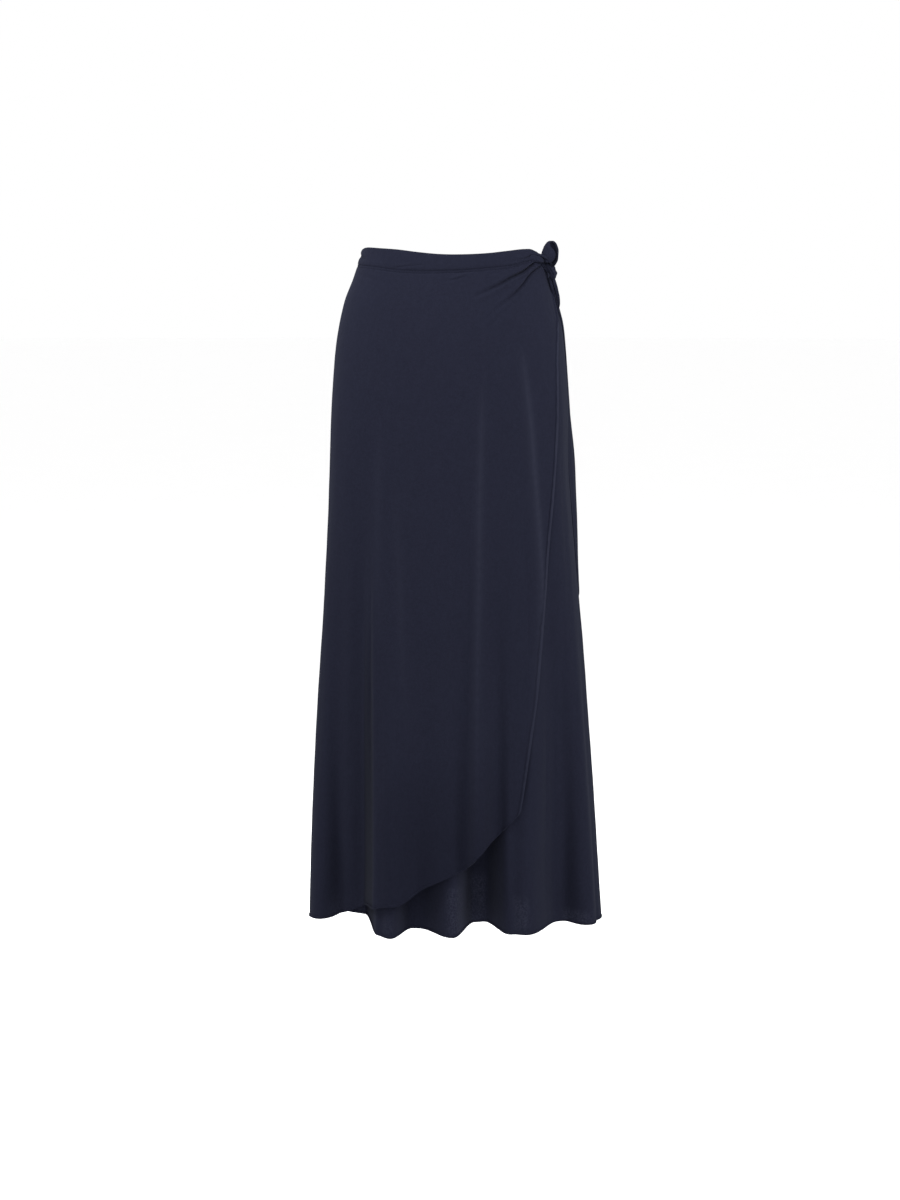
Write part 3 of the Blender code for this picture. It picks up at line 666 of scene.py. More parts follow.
def on_section(bearing, drop):
    """The plain figure, without folds: (across, behind) at a bearing and a drop."""
    angle = np.radians(bearing)
    side, ahead = np.sin(angle), np.cos(angle)
    plain = along(SECTIONS, "plain_side", drop)
    knot = along(SECTIONS, "knot_side", drop)
    half = np.where(side < 0, plain, knot)
    widest = np.where(side < 0, WIDEST.plain_side, WIDEST.knot_side)
    squared = SQUARED_WAIST + (1 - SQUARED_WAIST) * ease(drop / SQUARED_FULLY)
    spread = np.clip(widest - half, 0, HELD_UPRIGHT) * squared
    across = side * (half + spread * (1 - side**SQUARING_FADE))
    depth = np.where(ahead > 0, along(SECTIONS, "front", drop), along(SECTIONS, "back", drop))
    return across, -depth * ahead


def degree_round(bearing, drop):
    """How far a degree of the section goes across and behind."""
    x0, y0 = on_section(bearing - 0.5, drop)
    x1, y1 = on_section(bearing + 0.5, drop)
    return x1 - x0, y1 - y0


def per_degree(bearing, drop):
    """The length of a degree of the section, in metres."""
    return np.hypot(*degree_round(bearing, drop))


def section_normal(bearing, drop):
    """The outward normal of the plain figure's section."""
    across, behind = degree_round(bearing, drop)
    length = np.hypot(across, behind)
    return behind / length, -across / length


def outward(bearing):
    """The way a fold stands out: straight ahead over the front, turning sideways towards the sides."""
    turned = wrapped(bearing)
    in_front = np.abs(turned) <= 90
    from_middle = np.where(in_front, np.abs(turned), 180 - np.abs(turned))
    swing = math.pi / 2 * eased(from_middle, FOLDS_AHEAD, FOLDS_TURNED)
    return np.sin(swing) * np.sign(turned), np.cos(swing) * np.where(in_front, -1.0, 1.0)


def crease_depth(crease, bearing, drop):
    """How far one crease sinks the cloth here, with the lips beside it."""
    marks = np.array(crease.line)
    steps = np.linspace(0, len(marks) - 1, CREASE_STEPS)
    scale = float(per_degree(marks[:, 0].mean(), marks[:, 1].mean()))
    line = np.stack([smooth_through(np.arange(len(marks)), marks[:, k], steps) for k in (0, 1)], axis=-1)
    line[:, 0] *= scale
    tangent = np.gradient(line, axis=0)
    tangent /= np.linalg.norm(tangent, axis=1)[:, None]
    points = np.stack([bearing * scale, drop], axis=-1)
    reach = CREASE_REACH * crease.width
    near = np.all((points > line.min(axis=0) - reach) & (points < line.max(axis=0) + reach), axis=-1)
    sunk = np.zeros(np.shape(bearing))
    if not near.any():
        return sunk
    offset = points[near][:, None, :] - line[None, :, :]
    closest = np.argmin((offset**2).sum(axis=-1), axis=1)
    offset = offset[np.arange(len(closest)), closest]
    way = tangent[closest]
    aside = (offset[:, 0] * way[:, 1] - offset[:, 1] * way[:, 0]) / crease.width
    beyond = (offset * way).sum(axis=-1) / crease.width
    t = closest / (len(line) - 1)
    if crease.pulled:
        strength = ease(t / PULLED_START) * (1 - t**PULLED_FADE)
        aside = aside / (1 + PULLED_WIDENING * t)
    else:
        strength = np.sin(math.pi * t) ** SLACK_FADE
    shape = bump(np.abs(aside), 1, CREASE_SHARPNESS)
    shape -= crease.lip * bump(aside - LIP_PLACE, LIP_WIDTH)
    shape -= crease.lip * LOWER_LIP * bump(aside + LIP_PLACE, LIP_WIDTH)
    sunk[near] = crease.depth * strength * shape * bump(beyond, PAST_END)
    return sunk


def sewn_in(bearing, drop):
    """How far the two rows of stitches along the waist seam press into the cloth."""
    front = -along(OVERLAP_BAND, "seam", bearing)
    back = -along(BACK_BAND, "seam", bearing)
    below = drop - np.where(bearing < SIDE_SEAM, front, back)
    rows = bump(below + SEAM_STITCHES, STITCH_PRESS_WIDTH) + bump(below - SEAM_STITCHES, STITCH_PRESS_WIDTH)
    run_out = eased(bearing, SEWN_TO, SEWN_OUT) * (bearing < SIDE_SEAM)
    return STITCH_PRESS * rows * (1 - run_out)


def rippled(ripple, bearing, drop):
    turn = np.radians(bearing)
    wave = np.sin(ripple.round * turn + ripple.down * drop + ripple.start)
    swell = np.sin(ripple.swell_round * turn + ripple.swell_down * drop + ripple.swell_start)
    return ripple.height * wave * swell


def crumple(bearing, drop):
    """The slight unevenness and the creases that every layer shares, standing out of the section."""
    slack = TAUT_SHARE + (1 - TAUT_SHARE) * eased(drop, SLACK_FROM, SLACK_BY)
    uneven = sum(rippled(ripple, bearing, drop) for ripple in SLACK_RIPPLES)
    sunk = sum(crease_depth(crease, bearing, drop) for crease in CREASES) + sewn_in(bearing, drop)
    for seam in (-SIDE_SEAM, SIDE_SEAM, BEYOND_BACK):
        sunk = sunk + SEAM_PRESS * bump(bearing - seam, SEAM_PRESS_ANGLE)
    return uneven * slack + rippled(FINE_RIPPLE, bearing, drop) - sunk


def painted_light_patch(patch, bearing, drop):
    """Painted light near the hem, for light through the cloth, fading out at the patch's sides and foot."""
    sideways = bump(bearing - patch.bearing, patch.half_width, PATCH_SIDES)
    below_top = ease((drop - patch.top) / patch.soft_top)
    return patch.strength * sideways * below_top * (1 - ease((drop - patch.foot) / PATCH_FOOT))


def shaded(shade, bearing, drop):
    sideways = bump(bearing - shade.bearing, shade.half_width, SHADE_SIDES)
    return shade.strength * sideways * ease((drop - shade.top) / shade.soft_top)


def painted_tuck_shade(bearing, drop):
    """Painted shade, by how deep in a tuck the cloth lies, where little light reaches: by the knot, and
    beside a deep fold.
    """
    pulled = [crease_depth(crease, bearing, drop) / crease.depth for crease in CREASES if crease.pulled]
    return np.clip(np.max([*pulled, shaded(DEEP_FOLD, bearing, drop)], axis=0), 0, 1)


def painted_ridge_highlight(bearing, drop):
    """Painted highlight where the cloth catches the light: along the crests of its long soft ridges."""
    ridges = [-crease_depth(crease, bearing, drop) for crease in CREASES if crease.depth < 0]
    return np.clip(np.max(ridges, axis=0) / BRIGHTEST_RIDGE, 0, 1)


def layer_gap(drop):
    return LAYER_GAP + (LAYER_GAP_HEM - LAYER_GAP) * ease(drop / HEM_DROP)


def cloth_point(bearing, drop, reach, inset=0.0):
    """A point of a cloth wall's middle, standing out by its folds and set in by its layer."""
    x, y = on_section(bearing, drop)
    out_x, out_y = outward(bearing)
    normal_x, normal_y = section_normal(bearing, drop)
    return np.stack(
        [x + out_x * reach - normal_x * inset, y + out_y * reach - normal_y * inset, -drop], axis=-1
    )


def underlap_inset(bearing, drop):
    """The underlap lies inside the overlap, and comes out level with the back at the knot's side seam."""
    return layer_gap(drop) * (1 - eased(bearing, LEVEL_WITH_BACK, SIDE_SEAM))


def from_free_edge(bearing, drop):
    """How far past the overlap's free edge a bearing lies, in metres."""
    return (bearing - along(OVERLAP_EDGE, "bearing", drop)) * per_degree(bearing, drop)


def beside_edge(bearing, drop):
    """How far the underlap sinks in the shade beside the overlap's free edge."""
    sunk = EDGE_SINK * bump(from_free_edge(bearing, drop), EDGE_SINK_WIDTH)
    return sunk * eased(drop, EDGE_SINKS_FROM, EDGE_SINKS_BY) * (1 - eased(drop, EDGE_TURNS, EDGE_TURNED))


def underlap_shade(bearing, drop):
    """Painted shade beside the overlap's free edge, as deep as the underlap sinks there."""
    return beside_edge(bearing, drop) / EDGE_SINK


# Painted half shade on the overlap's lower middle.
def overlap_shade(bearing, drop):
    return shaded(LOWER_MIDDLE, bearing, drop)


def underlap_point(bearing, drop):
    reach = fold_reach(UNDERLAP_FOLDS, bearing, drop)
    inset = underlap_inset(bearing, drop) + beside_edge(bearing, drop)
    return cloth_point(bearing, drop, reach, inset - crumple(bearing, drop))


def overlap_point(bearing, drop):
    """The overlap rests on the underlap's crests and bridges its troughs."""
    under = fold_reach(UNDERLAP_FOLDS, bearing, drop)
    own = fold_reach(OVERLAP_FOLDS, bearing, drop)
    blend = RESTING_BLEND * eased(drop, RESTING_FROM, RESTING_WHOLE)
    resting = (own + under + np.sqrt((own - under) ** 2 + blend**2)) / 2
    plain_side = ease((bearing + SIDE_SEAM) / RESTING_BESIDE_SEAM)
    lift = EDGE_LIFT * bump(from_free_edge(bearing, drop), EDGE_LIFT_WIDTH)
    lift = lift * eased(drop, EDGE_LIFTS_FROM, EDGE_LIFTS_BY)
    return cloth_point(bearing, drop, own + (resting - own) * plain_side, -crumple(bearing, drop) - lift)


def back_point(bearing, drop):
    reach = fold_reach(UNDERLAP_FOLDS, bearing, drop)
    return cloth_point(bearing, drop, reach, -crumple(before_back_seam(bearing), drop))


# ---- Meshes ----


def linked(name, mesh):
    """A smooth piece in the scene."""
    mesh.shade_smooth()
    piece = bpy.data.objects.new(name, mesh)
    bpy.context.scene.collection.objects.link(piece)
    return piece


def grid_faces(corner):
    """Squares between the rows and columns of a grid of point numbers."""
    squares = np.stack([corner[:-1, :-1], corner[1:, :-1], corner[1:, 1:], corner[:-1, 1:]], axis=-1)
    return squares.reshape(-1, 4)


def cloth_mesh(name, points, hem_weight, material):
    """A sheet through a grid of points, rows by columns, with a wall that is thicker along its hems."""
    rows, columns = points.shape[:2]
    faces = grid_faces(np.arange(rows * columns).reshape(rows, columns))
    mesh = bpy.data.meshes.new(name)
    mesh.from_pydata(points.reshape(-1, 3).tolist(), [], faces.tolist())
    mesh.materials.append(material)
    piece = linked(name, mesh)
    group = piece.vertex_groups.new(name="hem")
    weights = np.round(hem_weight.reshape(-1), 2)
    for weight in np.unique(weights[weights > 0]):
        group.add(np.flatnonzero(weights == weight).tolist(), float(weight), "REPLACE")
    wall = piece.modifiers.new("wall", "SOLIDIFY")
    wall.thickness = HEM_CLOTH
    wall.offset = 0
    wall.vertex_group = "hem"
    wall.thickness_vertex_group = CLOTH / HEM_CLOTH
    return piece


def give_points(piece, name, values):
    """A number for each point of a sheet, for its finish to read."""
    attribute = piece.data.attributes.new(name, "FLOAT", "POINT")
    attribute.data.foreach_set("value", values.reshape(-1).astype(np.float32))


def even_columns(point, low, high, count, drop):
    """Bearings that cut the ring at this drop into equal lengths, so that folds get columns enough."""
    fine = np.linspace(low, high, COLUMN_SAMPLES)
    length = line_length(point(fine, np.full_like(fine, drop)))
    return np.interp(np.linspace(0, length[-1], count + 1), length, fine)


def line_length(line):
    """How far along a line of points each one lies."""
    return np.concatenate([[0], np.cumsum(np.linalg.norm(np.diff(line, axis=0), axis=1))])


def row_shares():
    """Shares of a panel's length, closer together near the waist, where the knot creases the cloth."""
    fine = np.linspace(0, 1, ROW_SAMPLES)
    density = 1 + WAIST_ROWS * bump(fine, WAIST_SHARE)
    grown = np.concatenate([[0], np.cumsum((density[1:] + density[:-1]) / 2)])
    return np.interp(np.linspace(0, grown[-1], PANEL_ROWS + 1), grown, fine)


def painted_edge_highlight(from_edge, drop):
    """Painted highlight on the overlap's turned edge, which fades on its way down."""
    highlight = EDGE_HIGHLIGHT - EDGE_HIGHLIGHT_LOST * eased(drop, EDGE_HIGHLIGHT_FADES_FROM, EDGE_HIGHLIGHT_FADES_BY)
    return highlight * (from_edge < EDGE_HIGHLIGHT_WIDTH) * (drop > EDGE_HIGHLIGHT_FROM)


# A panel's shape: its points, its own painted shade, its waistband, its hem and its slanting edge if it has
# one.
Shape = namedtuple("Shape", "point shade band hem edge")
OVERLAP = Shape(overlap_point, overlap_shade, OVERLAP_BAND, OVERLAP_HEM, OVERLAP_EDGE)
UNDERLAP = Shape(underlap_point, underlap_shade, UNDERLAP_BAND, UNDERLAP_HEM, None)
BACK = Shape(back_point, None, BACK_BAND, BACK_HEM, None)


def panel(name, shape, bearings, material):
    """A skirt panel from the waist seam to its hem, whose last column follows its slanting edge if any."""
    steps = np.array(HEM_STEPS)
    straight = bearings
    if shape.edge:
        straight = np.append(bearings, np.full(len(steps) - 1, bearings[-1]))

    def closed_up(drop):
        """The bearing of each column at its drop, with its distance from the slanting edge."""
        if not shape.edge:
            return np.broadcast_to(straight, drop.shape), np.ones_like(drop)
        slanting = along(shape.edge, "bearing", drop)
        scale = per_degree(slanting, drop)
        share = np.clip(straight - SQUEEZE_FROM, 0, None) / (bearings[-1] - SQUEEZE_FROM)
        squeezed = np.minimum(straight, SQUEEZE_FROM) + share * (slanting - steps[0] / scale - SQUEEZE_FROM)
        along_edge = slanting - np.append(np.zeros(len(bearings)), steps[1:]) / scale
        bearing = np.where(np.arange(len(straight)) < len(bearings), squeezed, along_edge)
        return bearing, (slanting - bearing) * scale

    top = -along(shape.band, "seam", straight) - TUCK
    foot, _ = closed_up(np.full_like(straight, HEM_DROP))
    bottom = along(shape.hem, "drop", foot)
    upper = top + (bottom - steps[0] - top) * row_shares()[:, None]
    drop = np.vstack([upper, bottom - steps[1:, None]])
    bearing, from_edge = closed_up(drop)
    margin = np.minimum(bottom - drop, from_edge)
    hem_weight = ease((HEM_WIDTH + HEM_SPARE - margin) / HEM_STEP)
    piece = cloth_mesh(name, shape.point(bearing, drop), hem_weight, material)
    # Painted light where light comes through a single layer near the hem, above the double hem.
    see_through_light = sum(painted_light_patch(patch, bearing, drop) for patch in PAINTED_LIGHT_PATCHES) * (margin > HEM_WIDTH)
    give_points(piece, "painted_see_through_light", np.clip(see_through_light, 0, 1))
    # Painted shade: a darker colour in the pulled creases, beside the deep fold and in the panel's own
    # shaded stretch.
    dark = painted_tuck_shade(bearing, drop)
    if shape.shade:
        dark = np.maximum(dark, shape.shade(bearing, drop))
    give_points(piece, "painted_tuck_shade", dark)
    # Painted highlight on the ridge crests and on the overlap's turned edge.
    give_points(piece, "crest", np.maximum(painted_ridge_highlight(bearing, drop), painted_edge_highlight(from_edge, drop)))
    return piece


def outward_faces(mesh, weld=0.0):
    """Welds points that meet, and turns every face outward."""
    shape = bmesh.new()
    shape.from_mesh(mesh)
    if weld:
        bmesh.ops.remove_doubles(shape, verts=shape.verts, dist=weld)
    bmesh.ops.recalc_face_normals(shape, faces=shape.faces)
    shape.to_mesh(mesh)
    shape.free()


def pillow(name, middle, half, material):
    """A closed strip of folded cloth: a middle surface, thickened by half on both sides, whose rims meet."""
    down, across = np.gradient(middle, axis=0), np.gradient(middle, axis=1)
    normal = np.cross(across, down)
    normal /= np.linalg.norm(normal, axis=-1)[..., None]
    rows, columns = middle.shape[:2]
    points = np.concatenate([middle + normal * half[..., None], middle - normal * half[..., None]])
    front = grid_faces(np.arange(rows * columns).reshape(rows, columns))[:, [0, 3, 2, 1]]
    rear = front[:, ::-1] + rows * columns
    mesh = bpy.data.meshes.new(name)
    mesh.from_pydata(points.reshape(-1, 3).tolist(), [], np.concatenate([front, rear]).tolist())
    outward_faces(mesh, RIM_WELD)
    mesh.materials.append(material)
    return linked(name, mesh)


def joined(name, meshes, material):
    """Several meshes of one material made one piece."""
    shape = bmesh.new()
    for mesh in meshes:
        shape.from_mesh(mesh)
        bpy.data.meshes.remove(mesh)
    whole = bpy.data.meshes.new(name)
    shape.to_mesh(whole)
    shape.free()
    whole.materials.append(material)
    return linked(name, whole)


def rounded(share, rim):
    """Half-thickness across a strip: full in the middle, rounding to nothing within rim of each side."""
    inside = np.clip(np.minimum(share, 1 - share) / rim, 0, 1)
    return np.sqrt(1 - (1 - inside) ** 2)


def rim_shares(count, rim):
    """Shares across a strip, closer together at its two rims."""
    curl = rim * (1 - np.cos(np.linspace(0, math.pi / 2, RIM_STEPS + 1)))
    return np.concatenate([curl[:-1], np.linspace(rim, 1 - rim, count), 1 - curl[:-1][::-1]])


# ---- The waistband ----


def band(name, edges, low, high, inset, material):
    """A stretch of waistband, folded double at its top and standing on the waist seam."""
    bearing, share = np.meshgrid(np.linspace(low, high, BAND_COLUMNS), rim_shares(BAND_ROWS, BAND_RIM))
    top, seam = along(edges, "top", bearing), along(edges, "seam", bearing)
    drop = -(top + (seam - top) * share)
    fullness = BAND_FULLNESS * np.sin(math.pi * share)
    sunk = inset(bearing, drop) - crumple(before_back_seam(bearing), drop)
    sewn_flat = 1 - BAND_FLATTENED * eased(share, BAND_FLATTENS_FROM, BAND_FLATTENS_BY)
    ends = ease(np.minimum(bearing - low, high - bearing) / BAND_TAPER)
    half = BAND_CLOTH / 2 * rounded(share, BAND_RIM) * sewn_flat * ends
    return pillow(name, cloth_point(bearing, drop, fullness, sunk), half, material)


# ---- The tie ----


def spot_point(bearing, drop, lift):
    """A point that stands off the overlap's smooth section."""
    return cloth_point(np.asarray(bearing, float), np.asarray(drop, float), 0.0, -np.asarray(lift, float))


def long_tail(name, material):
    """The long hanging end, which follows the cloth beneath it, with pleats along its length."""
    drops = column(LONG_TAIL, "drop")
    lengthwise = np.linspace(drops[0], drops[-1], TAIL_ROWS)
    share, drop = np.meshgrid(rim_shares(TAIL_COLUMNS, TAIL_RIM), lengthwise)
    middle = along(LONG_TAIL, "bearing", drop)
    bearing = middle + (share - 0.5) * along(LONG_TAIL, "width", drop) / per_degree(middle, drop)
    length = (drop - drops[0]) / (drops[-1] - drops[0])
    knotted = along(LONG_TAIL, "front_lift", drop)
    front = knotted + (TAIL_REST - knotted) * ease(length / TAIL_RESTS_BY)
    rear = along(LONG_TAIL, "rear_lift", drop)
    sway = TAIL_SWAY * np.sin(TAIL_SWAY_RATE * length + TAIL_SWAY_START)
    pleats = TAIL_PLEAT * np.sin(2 * math.pi * (TAIL_PLEATS * share + sway))
    lift = front + (rear - front) * share**TAIL_SPREAD + pleats * ease(length / TAIL_PLEATED_BY)
    points = cloth_point(bearing, drop, 0.0, underlap_inset(bearing, drop) - lift)
    ends = ease(np.minimum(length, 1 - length) / TAIL_TAPER)
    return pillow(name, points, TIE_CLOTH / 2 * rounded(share, TAIL_RIM) * ends, material)


def tie_loop(name, material):
    """The tie's one loop, a folded strip that stands above the knot and bellies out on both sides."""
    turn = math.radians(LOOP_TURN)
    hollow = np.array((math.sin(turn), -math.cos(turn), 0.0))
    behind = np.array((math.cos(turn), math.sin(turn), 0.0))
    upright = np.array((0.0, 0.0, 1.0))
    share, length = np.meshgrid(rim_shares(LOOP_COLUMNS, LOOP_RIM), np.linspace(0, 1, LOOP_ROWS))
    at = {name: along(LOOP, name, length) for name in LoopRow._fields}
    across = (at["left"] + at["right"]) * share - at["left"]
    belly = -LOOP_BELLY * np.cos(math.pi * length) * np.sin(math.pi * share)
    pleats = LOOP_PLEAT * np.sin(2 * math.pi * (LOOP_PLEATS * share + LOOP_PLEAT_TWIST * length))
    curls = eased(length, *LOOP_CURLS) * (1 - eased(length, *LOOP_UNCURLS))
    depth = at["depth"] + belly + pleats - LOOP_CURL * curls * share**LOOP_CURL_RIM
    middle = spot_point(*LOOP_FOOT) + across[..., None] * hollow + depth[..., None] * behind
    middle = middle + at["rise"][..., None] * upright
    ends = ease(np.minimum(length, 1 - length) / LOOP_TAPER)
    return pillow(name, middle, TIE_CLOTH / 2 * rounded(share, LOOP_RIM) * ends, material)


def knot_turn(rows, wrinkle):
    """One turn of the knot: cloth drawn into a flattened strand along its row of points."""
    stations = np.linspace(0, len(rows) - 1, TURN_RINGS)
    at = {name: smooth_through(np.arange(len(rows)), column(rows, name), stations) for name in Turn._fields}
    path = spot_point(at["bearing"], at["drop"], at["lift"])
    normal_x, normal_y = section_normal(at["bearing"], at["drop"])
    out = np.stack([normal_x, normal_y, np.zeros_like(normal_x)], axis=-1)
    way = np.gradient(path, axis=0)
    way /= np.linalg.norm(way, axis=1)[:, None]
    side = np.cross(way, out)
    side /= np.linalg.norm(side, axis=1)[:, None]
    out = np.cross(side, way)
    around = np.linspace(0, 2 * math.pi, TURN_SIDES, endpoint=False)
    t = (stations / stations[-1])[:, None]
    from_tip = np.clip(np.minimum(t, 1 - t) / TURN_TIP, 0, 1)
    taper = np.sqrt(np.clip(1 - (1 - from_tip) ** 2, TIP_LEAST**2, 1))
    grooves = 1 + sum(g.depth * np.cos(g.count * around + g.twist * t) for g in GROOVES)
    rings = 1 + wrinkle * np.sin(WRINKLES * t + WRINKLE_SWAY * np.sin(2 * around))
    across = at["width"][:, None] / 2 * taper * np.cos(around) * grooves
    up = at["girth"][:, None] / 2 * taper * np.sin(around) * grooves * rings
    points = path[:, None, :] + across[..., None] * side[:, None, :] + up[..., None] * out[:, None, :]
    corner = np.arange(TURN_RINGS * TURN_SIDES).reshape(TURN_RINGS, TURN_SIDES)
    faces = grid_faces(np.hstack([corner, corner[:, :1]])).tolist()
    faces += [corner[0].tolist(), corner[-1][::-1].tolist()]
    mesh = bpy.data.meshes.new("turn")
    mesh.from_pydata(points.reshape(-1, 3).tolist(), [], faces)
    outward_faces(mesh)
    return mesh


def tie_knot(name, material):
    wrinkles = {"throat": THROAT_WRINKLE}
    turns = [knot_turn(rows, wrinkles.get(turn, TURN_WRINKLE)) for turn, rows in KNOT_TURNS.items()]
    return joined(name, turns, material)


def short_tail(name, material):
    return joined(name, [knot_turn(rows, STRAND_WRINKLE) for rows in SHORT_STRANDS], material)


# ---- Stitching ----


def stitch_rows(name, rows, material):
    """Rows of stitches along lines of points that lie on the cloth, made one mesh."""
    shape = bmesh.new()
    bmesh.ops.create_uvsphere(shape, u_segments=STITCH_SIDES, v_segments=STITCH_RINGS, radius=0.5)
    one = np.array([tuple(v.co) for v in shape.verts])
    one_faces = [[v.index for v in f.verts] for f in shape.faces]
    shape.free()
    points, faces = [], []
    for line, out in rows:
        length = line_length(line)

        def part_way(at, values):
            return np.array([np.interp(at, length, values[:, k]) for k in range(3)])

        for start in np.arange(STITCH_PITCH, length[-1] - STITCH_PITCH, STITCH_PITCH):
            first, last = part_way(start, line), part_way(start + STITCH_LENGTH, line)
            up = part_way(start, out)
            way = last - first
            way /= np.linalg.norm(way)
            side = np.cross(way, up)
            side /= np.linalg.norm(side)
            size = one * (STITCH_GIRTH, STITCH_GIRTH, STITCH_LENGTH)
            base = len(points) * len(one)
            centre = (first + last) / 2 + up * STITCH_GIRTH * STITCH_LIFT
            points.append(centre + size @ np.array([side, np.cross(side, way), way]))
            faces += [[base + i for i in face] for face in one_faces]
    mesh = bpy.data.meshes.new(name)
    mesh.from_pydata(np.concatenate(points).tolist(), [], faces)
    mesh.materials.append(material)
    return linked(name, mesh)


def on_surface(point, bearing, drop, wall):
    """A line on a layer's outer face, with the face's normals."""
    round_it = point(bearing + NORMAL_ANGLE, drop) - point(bearing - NORMAL_ANGLE, drop)
    fall = point(bearing, drop + NORMAL_STEP) - point(bearing, drop - NORMAL_STEP)
    out = np.cross(fall, round_it)
    out /= np.linalg.norm(out, axis=1)[:, None]
    return point(bearing, drop) + out * wall / 2, out


# ---- Finishes ----


class Socket:
    """A node's output. Arithmetic on it adds Math nodes, so that a finish reads as a formula."""

    def __init__(self, finish, output):
        self.finish = finish
        self.output = output

    def math(self, operation, first, second):
        return self.finish.add("ShaderNodeMath", 0, {"operation": operation}, {0: first, 1: second})

    def __add__(self, other):
        return self.math("ADD", self, other)

    def __radd__(self, other):
        return self.math("ADD", other, self)

    def __sub__(self, other):
        return self.math("SUBTRACT", self, other)

    def __rsub__(self, other):
        return self.math("SUBTRACT", other, self)

    def __mul__(self, other):
        return self.math("MULTIPLY", self, other)

    def __rmul__(self, other):
        return self.math("MULTIPLY", other, self)


class Finish:
    """A material in the making."""

    def __init__(self, name):
        self.material = bpy.data.materials.new(name)
        self.material.use_nodes = True
        self.tree = self.material.node_tree
        self.tree.nodes.clear()

    def add(self, kind, output, settings=None, values=None):
        """One node: its settings, then the numbers or links of its sockets. Gives the named output."""
        node = self.tree.nodes.new(kind)
        for name, value in (settings or {}).items():
            setattr(node, name, value)
        for name, value in (values or {}).items():
            if isinstance(value, Socket):
                self.tree.links.new(value.output, node.inputs[name])
            else:
                node.inputs[name].default_value = value
        return None if output is None else Socket(self, node.outputs[output])

    def noise(self, where, scale, detail=2.0, distortion=0.0):
        values = {"Vector": where, "Scale": scale, "Detail": detail, "Distortion": distortion}
        return self.add("ShaderNodeTexNoise", 0, None, values)

    def blend(self, share, low, high):
        return self.add("ShaderNodeMix", 2, {"data_type": "RGBA"}, {0: share, 6: low, 7: high})

    def given(self, name):
        """The number that a sheet's points carry under this name."""
        return self.add("ShaderNodeAttribute", "Fac", {"attribute_name": name})

    def surface(self, values):
        """The shader that the finish ends in."""
        shader = self.add("ShaderNodeBsdfPrincipled", "BSDF", None, values)
        self.add("ShaderNodeOutputMaterial", None, None, {"Surface": shader})

    def spread(self, value, low, high, to_low=0.0, to_high=1.0):
        """Stretches a value's range from low..high to another, and holds it there."""
        values = {"Value": value, "From Min": low, "From Max": high, "To Min": to_low, "To Max": to_high}
        return self.add("ShaderNodeMapRange", 0, None, values)


NAVY_DEEP = (0.0065, 0.0070, 0.0124, 1.0)
NAVY_LIT = (0.0086, 0.0094, 0.0166, 1.0)
# A lighter navy for painted light through the cloth and painted highlights.
NAVY_PAINTED_LIGHT = (0.0145, 0.0157, 0.0252, 1.0)
# A darker navy for painted shade.
NAVY_PAINTED_SHADE = (0.0022, 0.0024, 0.0046, 1.0)
SHEEN_TINT = (0.80, 0.85, 1.0, 1.0)

# The grains' scales, in spots to the metre, and how much each weighs.
PEBBLES = 850.0
PEBBLE_DETAIL = 2.0
PEBBLE_TWIST = 0.6
GRAIN_DETAIL = 3.0
SLUBS = 240.0
MOTTLES = 38.0
SPECKLES = 420.0
SLUB_SHARE = 0.3
MOTTLE_SHARE = 0.08
PAINTED_HIGHLIGHT_SHARE = 0.75  # how much of the painted light colour a ridge's crest, or the turned edge, takes on as a painted highlight

# The ranges of the grain over which a finish goes from one end to the other.
MOTTLED = (0.36, 0.64)
SPECKLED = (0.40, 0.66)
# the range of the painted shade mask over which the colour darkens to the painted shade
PAINTED_SHADE_RANGE = (0.25, 0.95)
PEBBLED = (0.30, 0.70)
ROUGHNESS = (0.72, 0.86)
PANEL_RELIEF = 0.0002  # how high the pebbles stand, in metres
TIE_RELIEF = 0.00018
THREAD_RELIEF = 0.0001
RELIEF_STRENGTH = 0.55
SHEEN = 0.02
SHEEN_ROUGHNESS = 0.45


def crepe(name, pebble_height, panels=False):
    """Navy crepe: a fine pebbled grain, slight mottling and a soft dull sheen, and on the panels painted
    shade, painted highlights and painted light near the hem.
    """
    finish = Finish(name)
    where = finish.add("ShaderNodeTexCoord", "Object")
    pebble = finish.noise(where, PEBBLES, PEBBLE_DETAIL, PEBBLE_TWIST)
    slub = finish.noise(where, SLUBS, GRAIN_DETAIL)
    mottle = finish.noise(where, MOTTLES, GRAIN_DETAIL)
    height = pebble + (slub - pebble) * SLUB_SHARE
    light = finish.spread(height + (mottle - height) * MOTTLE_SHARE, *MOTTLED)
    colour = finish.blend(light, NAVY_DEEP, NAVY_LIT)
    if panels:
        # Painted light through a single layer near the hem, speckled by the weave.
        see_through_light = finish.given("painted_see_through_light")
        speckle = finish.spread(finish.noise(where, SPECKLES, GRAIN_DETAIL), *SPECKLED)
        colour = finish.blend(see_through_light * speckle, colour, NAVY_PAINTED_LIGHT)
        # Painted shade: darker in the tucks, beside the deep fold, in the lower middle and beside the free
        # edge.
        colour = finish.blend(finish.spread(finish.given("painted_tuck_shade"), *PAINTED_SHADE_RANGE), colour, NAVY_PAINTED_SHADE)
        # Painted highlight on the ridge crests and on the overlap's turned edge.
        colour = finish.blend(finish.given("crest") * PAINTED_HIGHLIGHT_SHARE, colour, NAVY_PAINTED_LIGHT)
    relief = {"Height": height, "Strength": RELIEF_STRENGTH, "Distance": pebble_height}
    finish.surface(
        {
            "Base Color": colour,
            "Roughness": finish.spread(pebble, *PEBBLED, *ROUGHNESS),
            "Normal": finish.add("ShaderNodeBump", "Normal", None, relief),
            "Specular IOR Level": 0.0,
            "Sheen Weight": SHEEN,
            "Sheen Roughness": SHEEN_ROUGHNESS,
            "Sheen Tint": SHEEN_TINT,
        }
    )
    return finish.material


# ---- Camera, light and floor ----

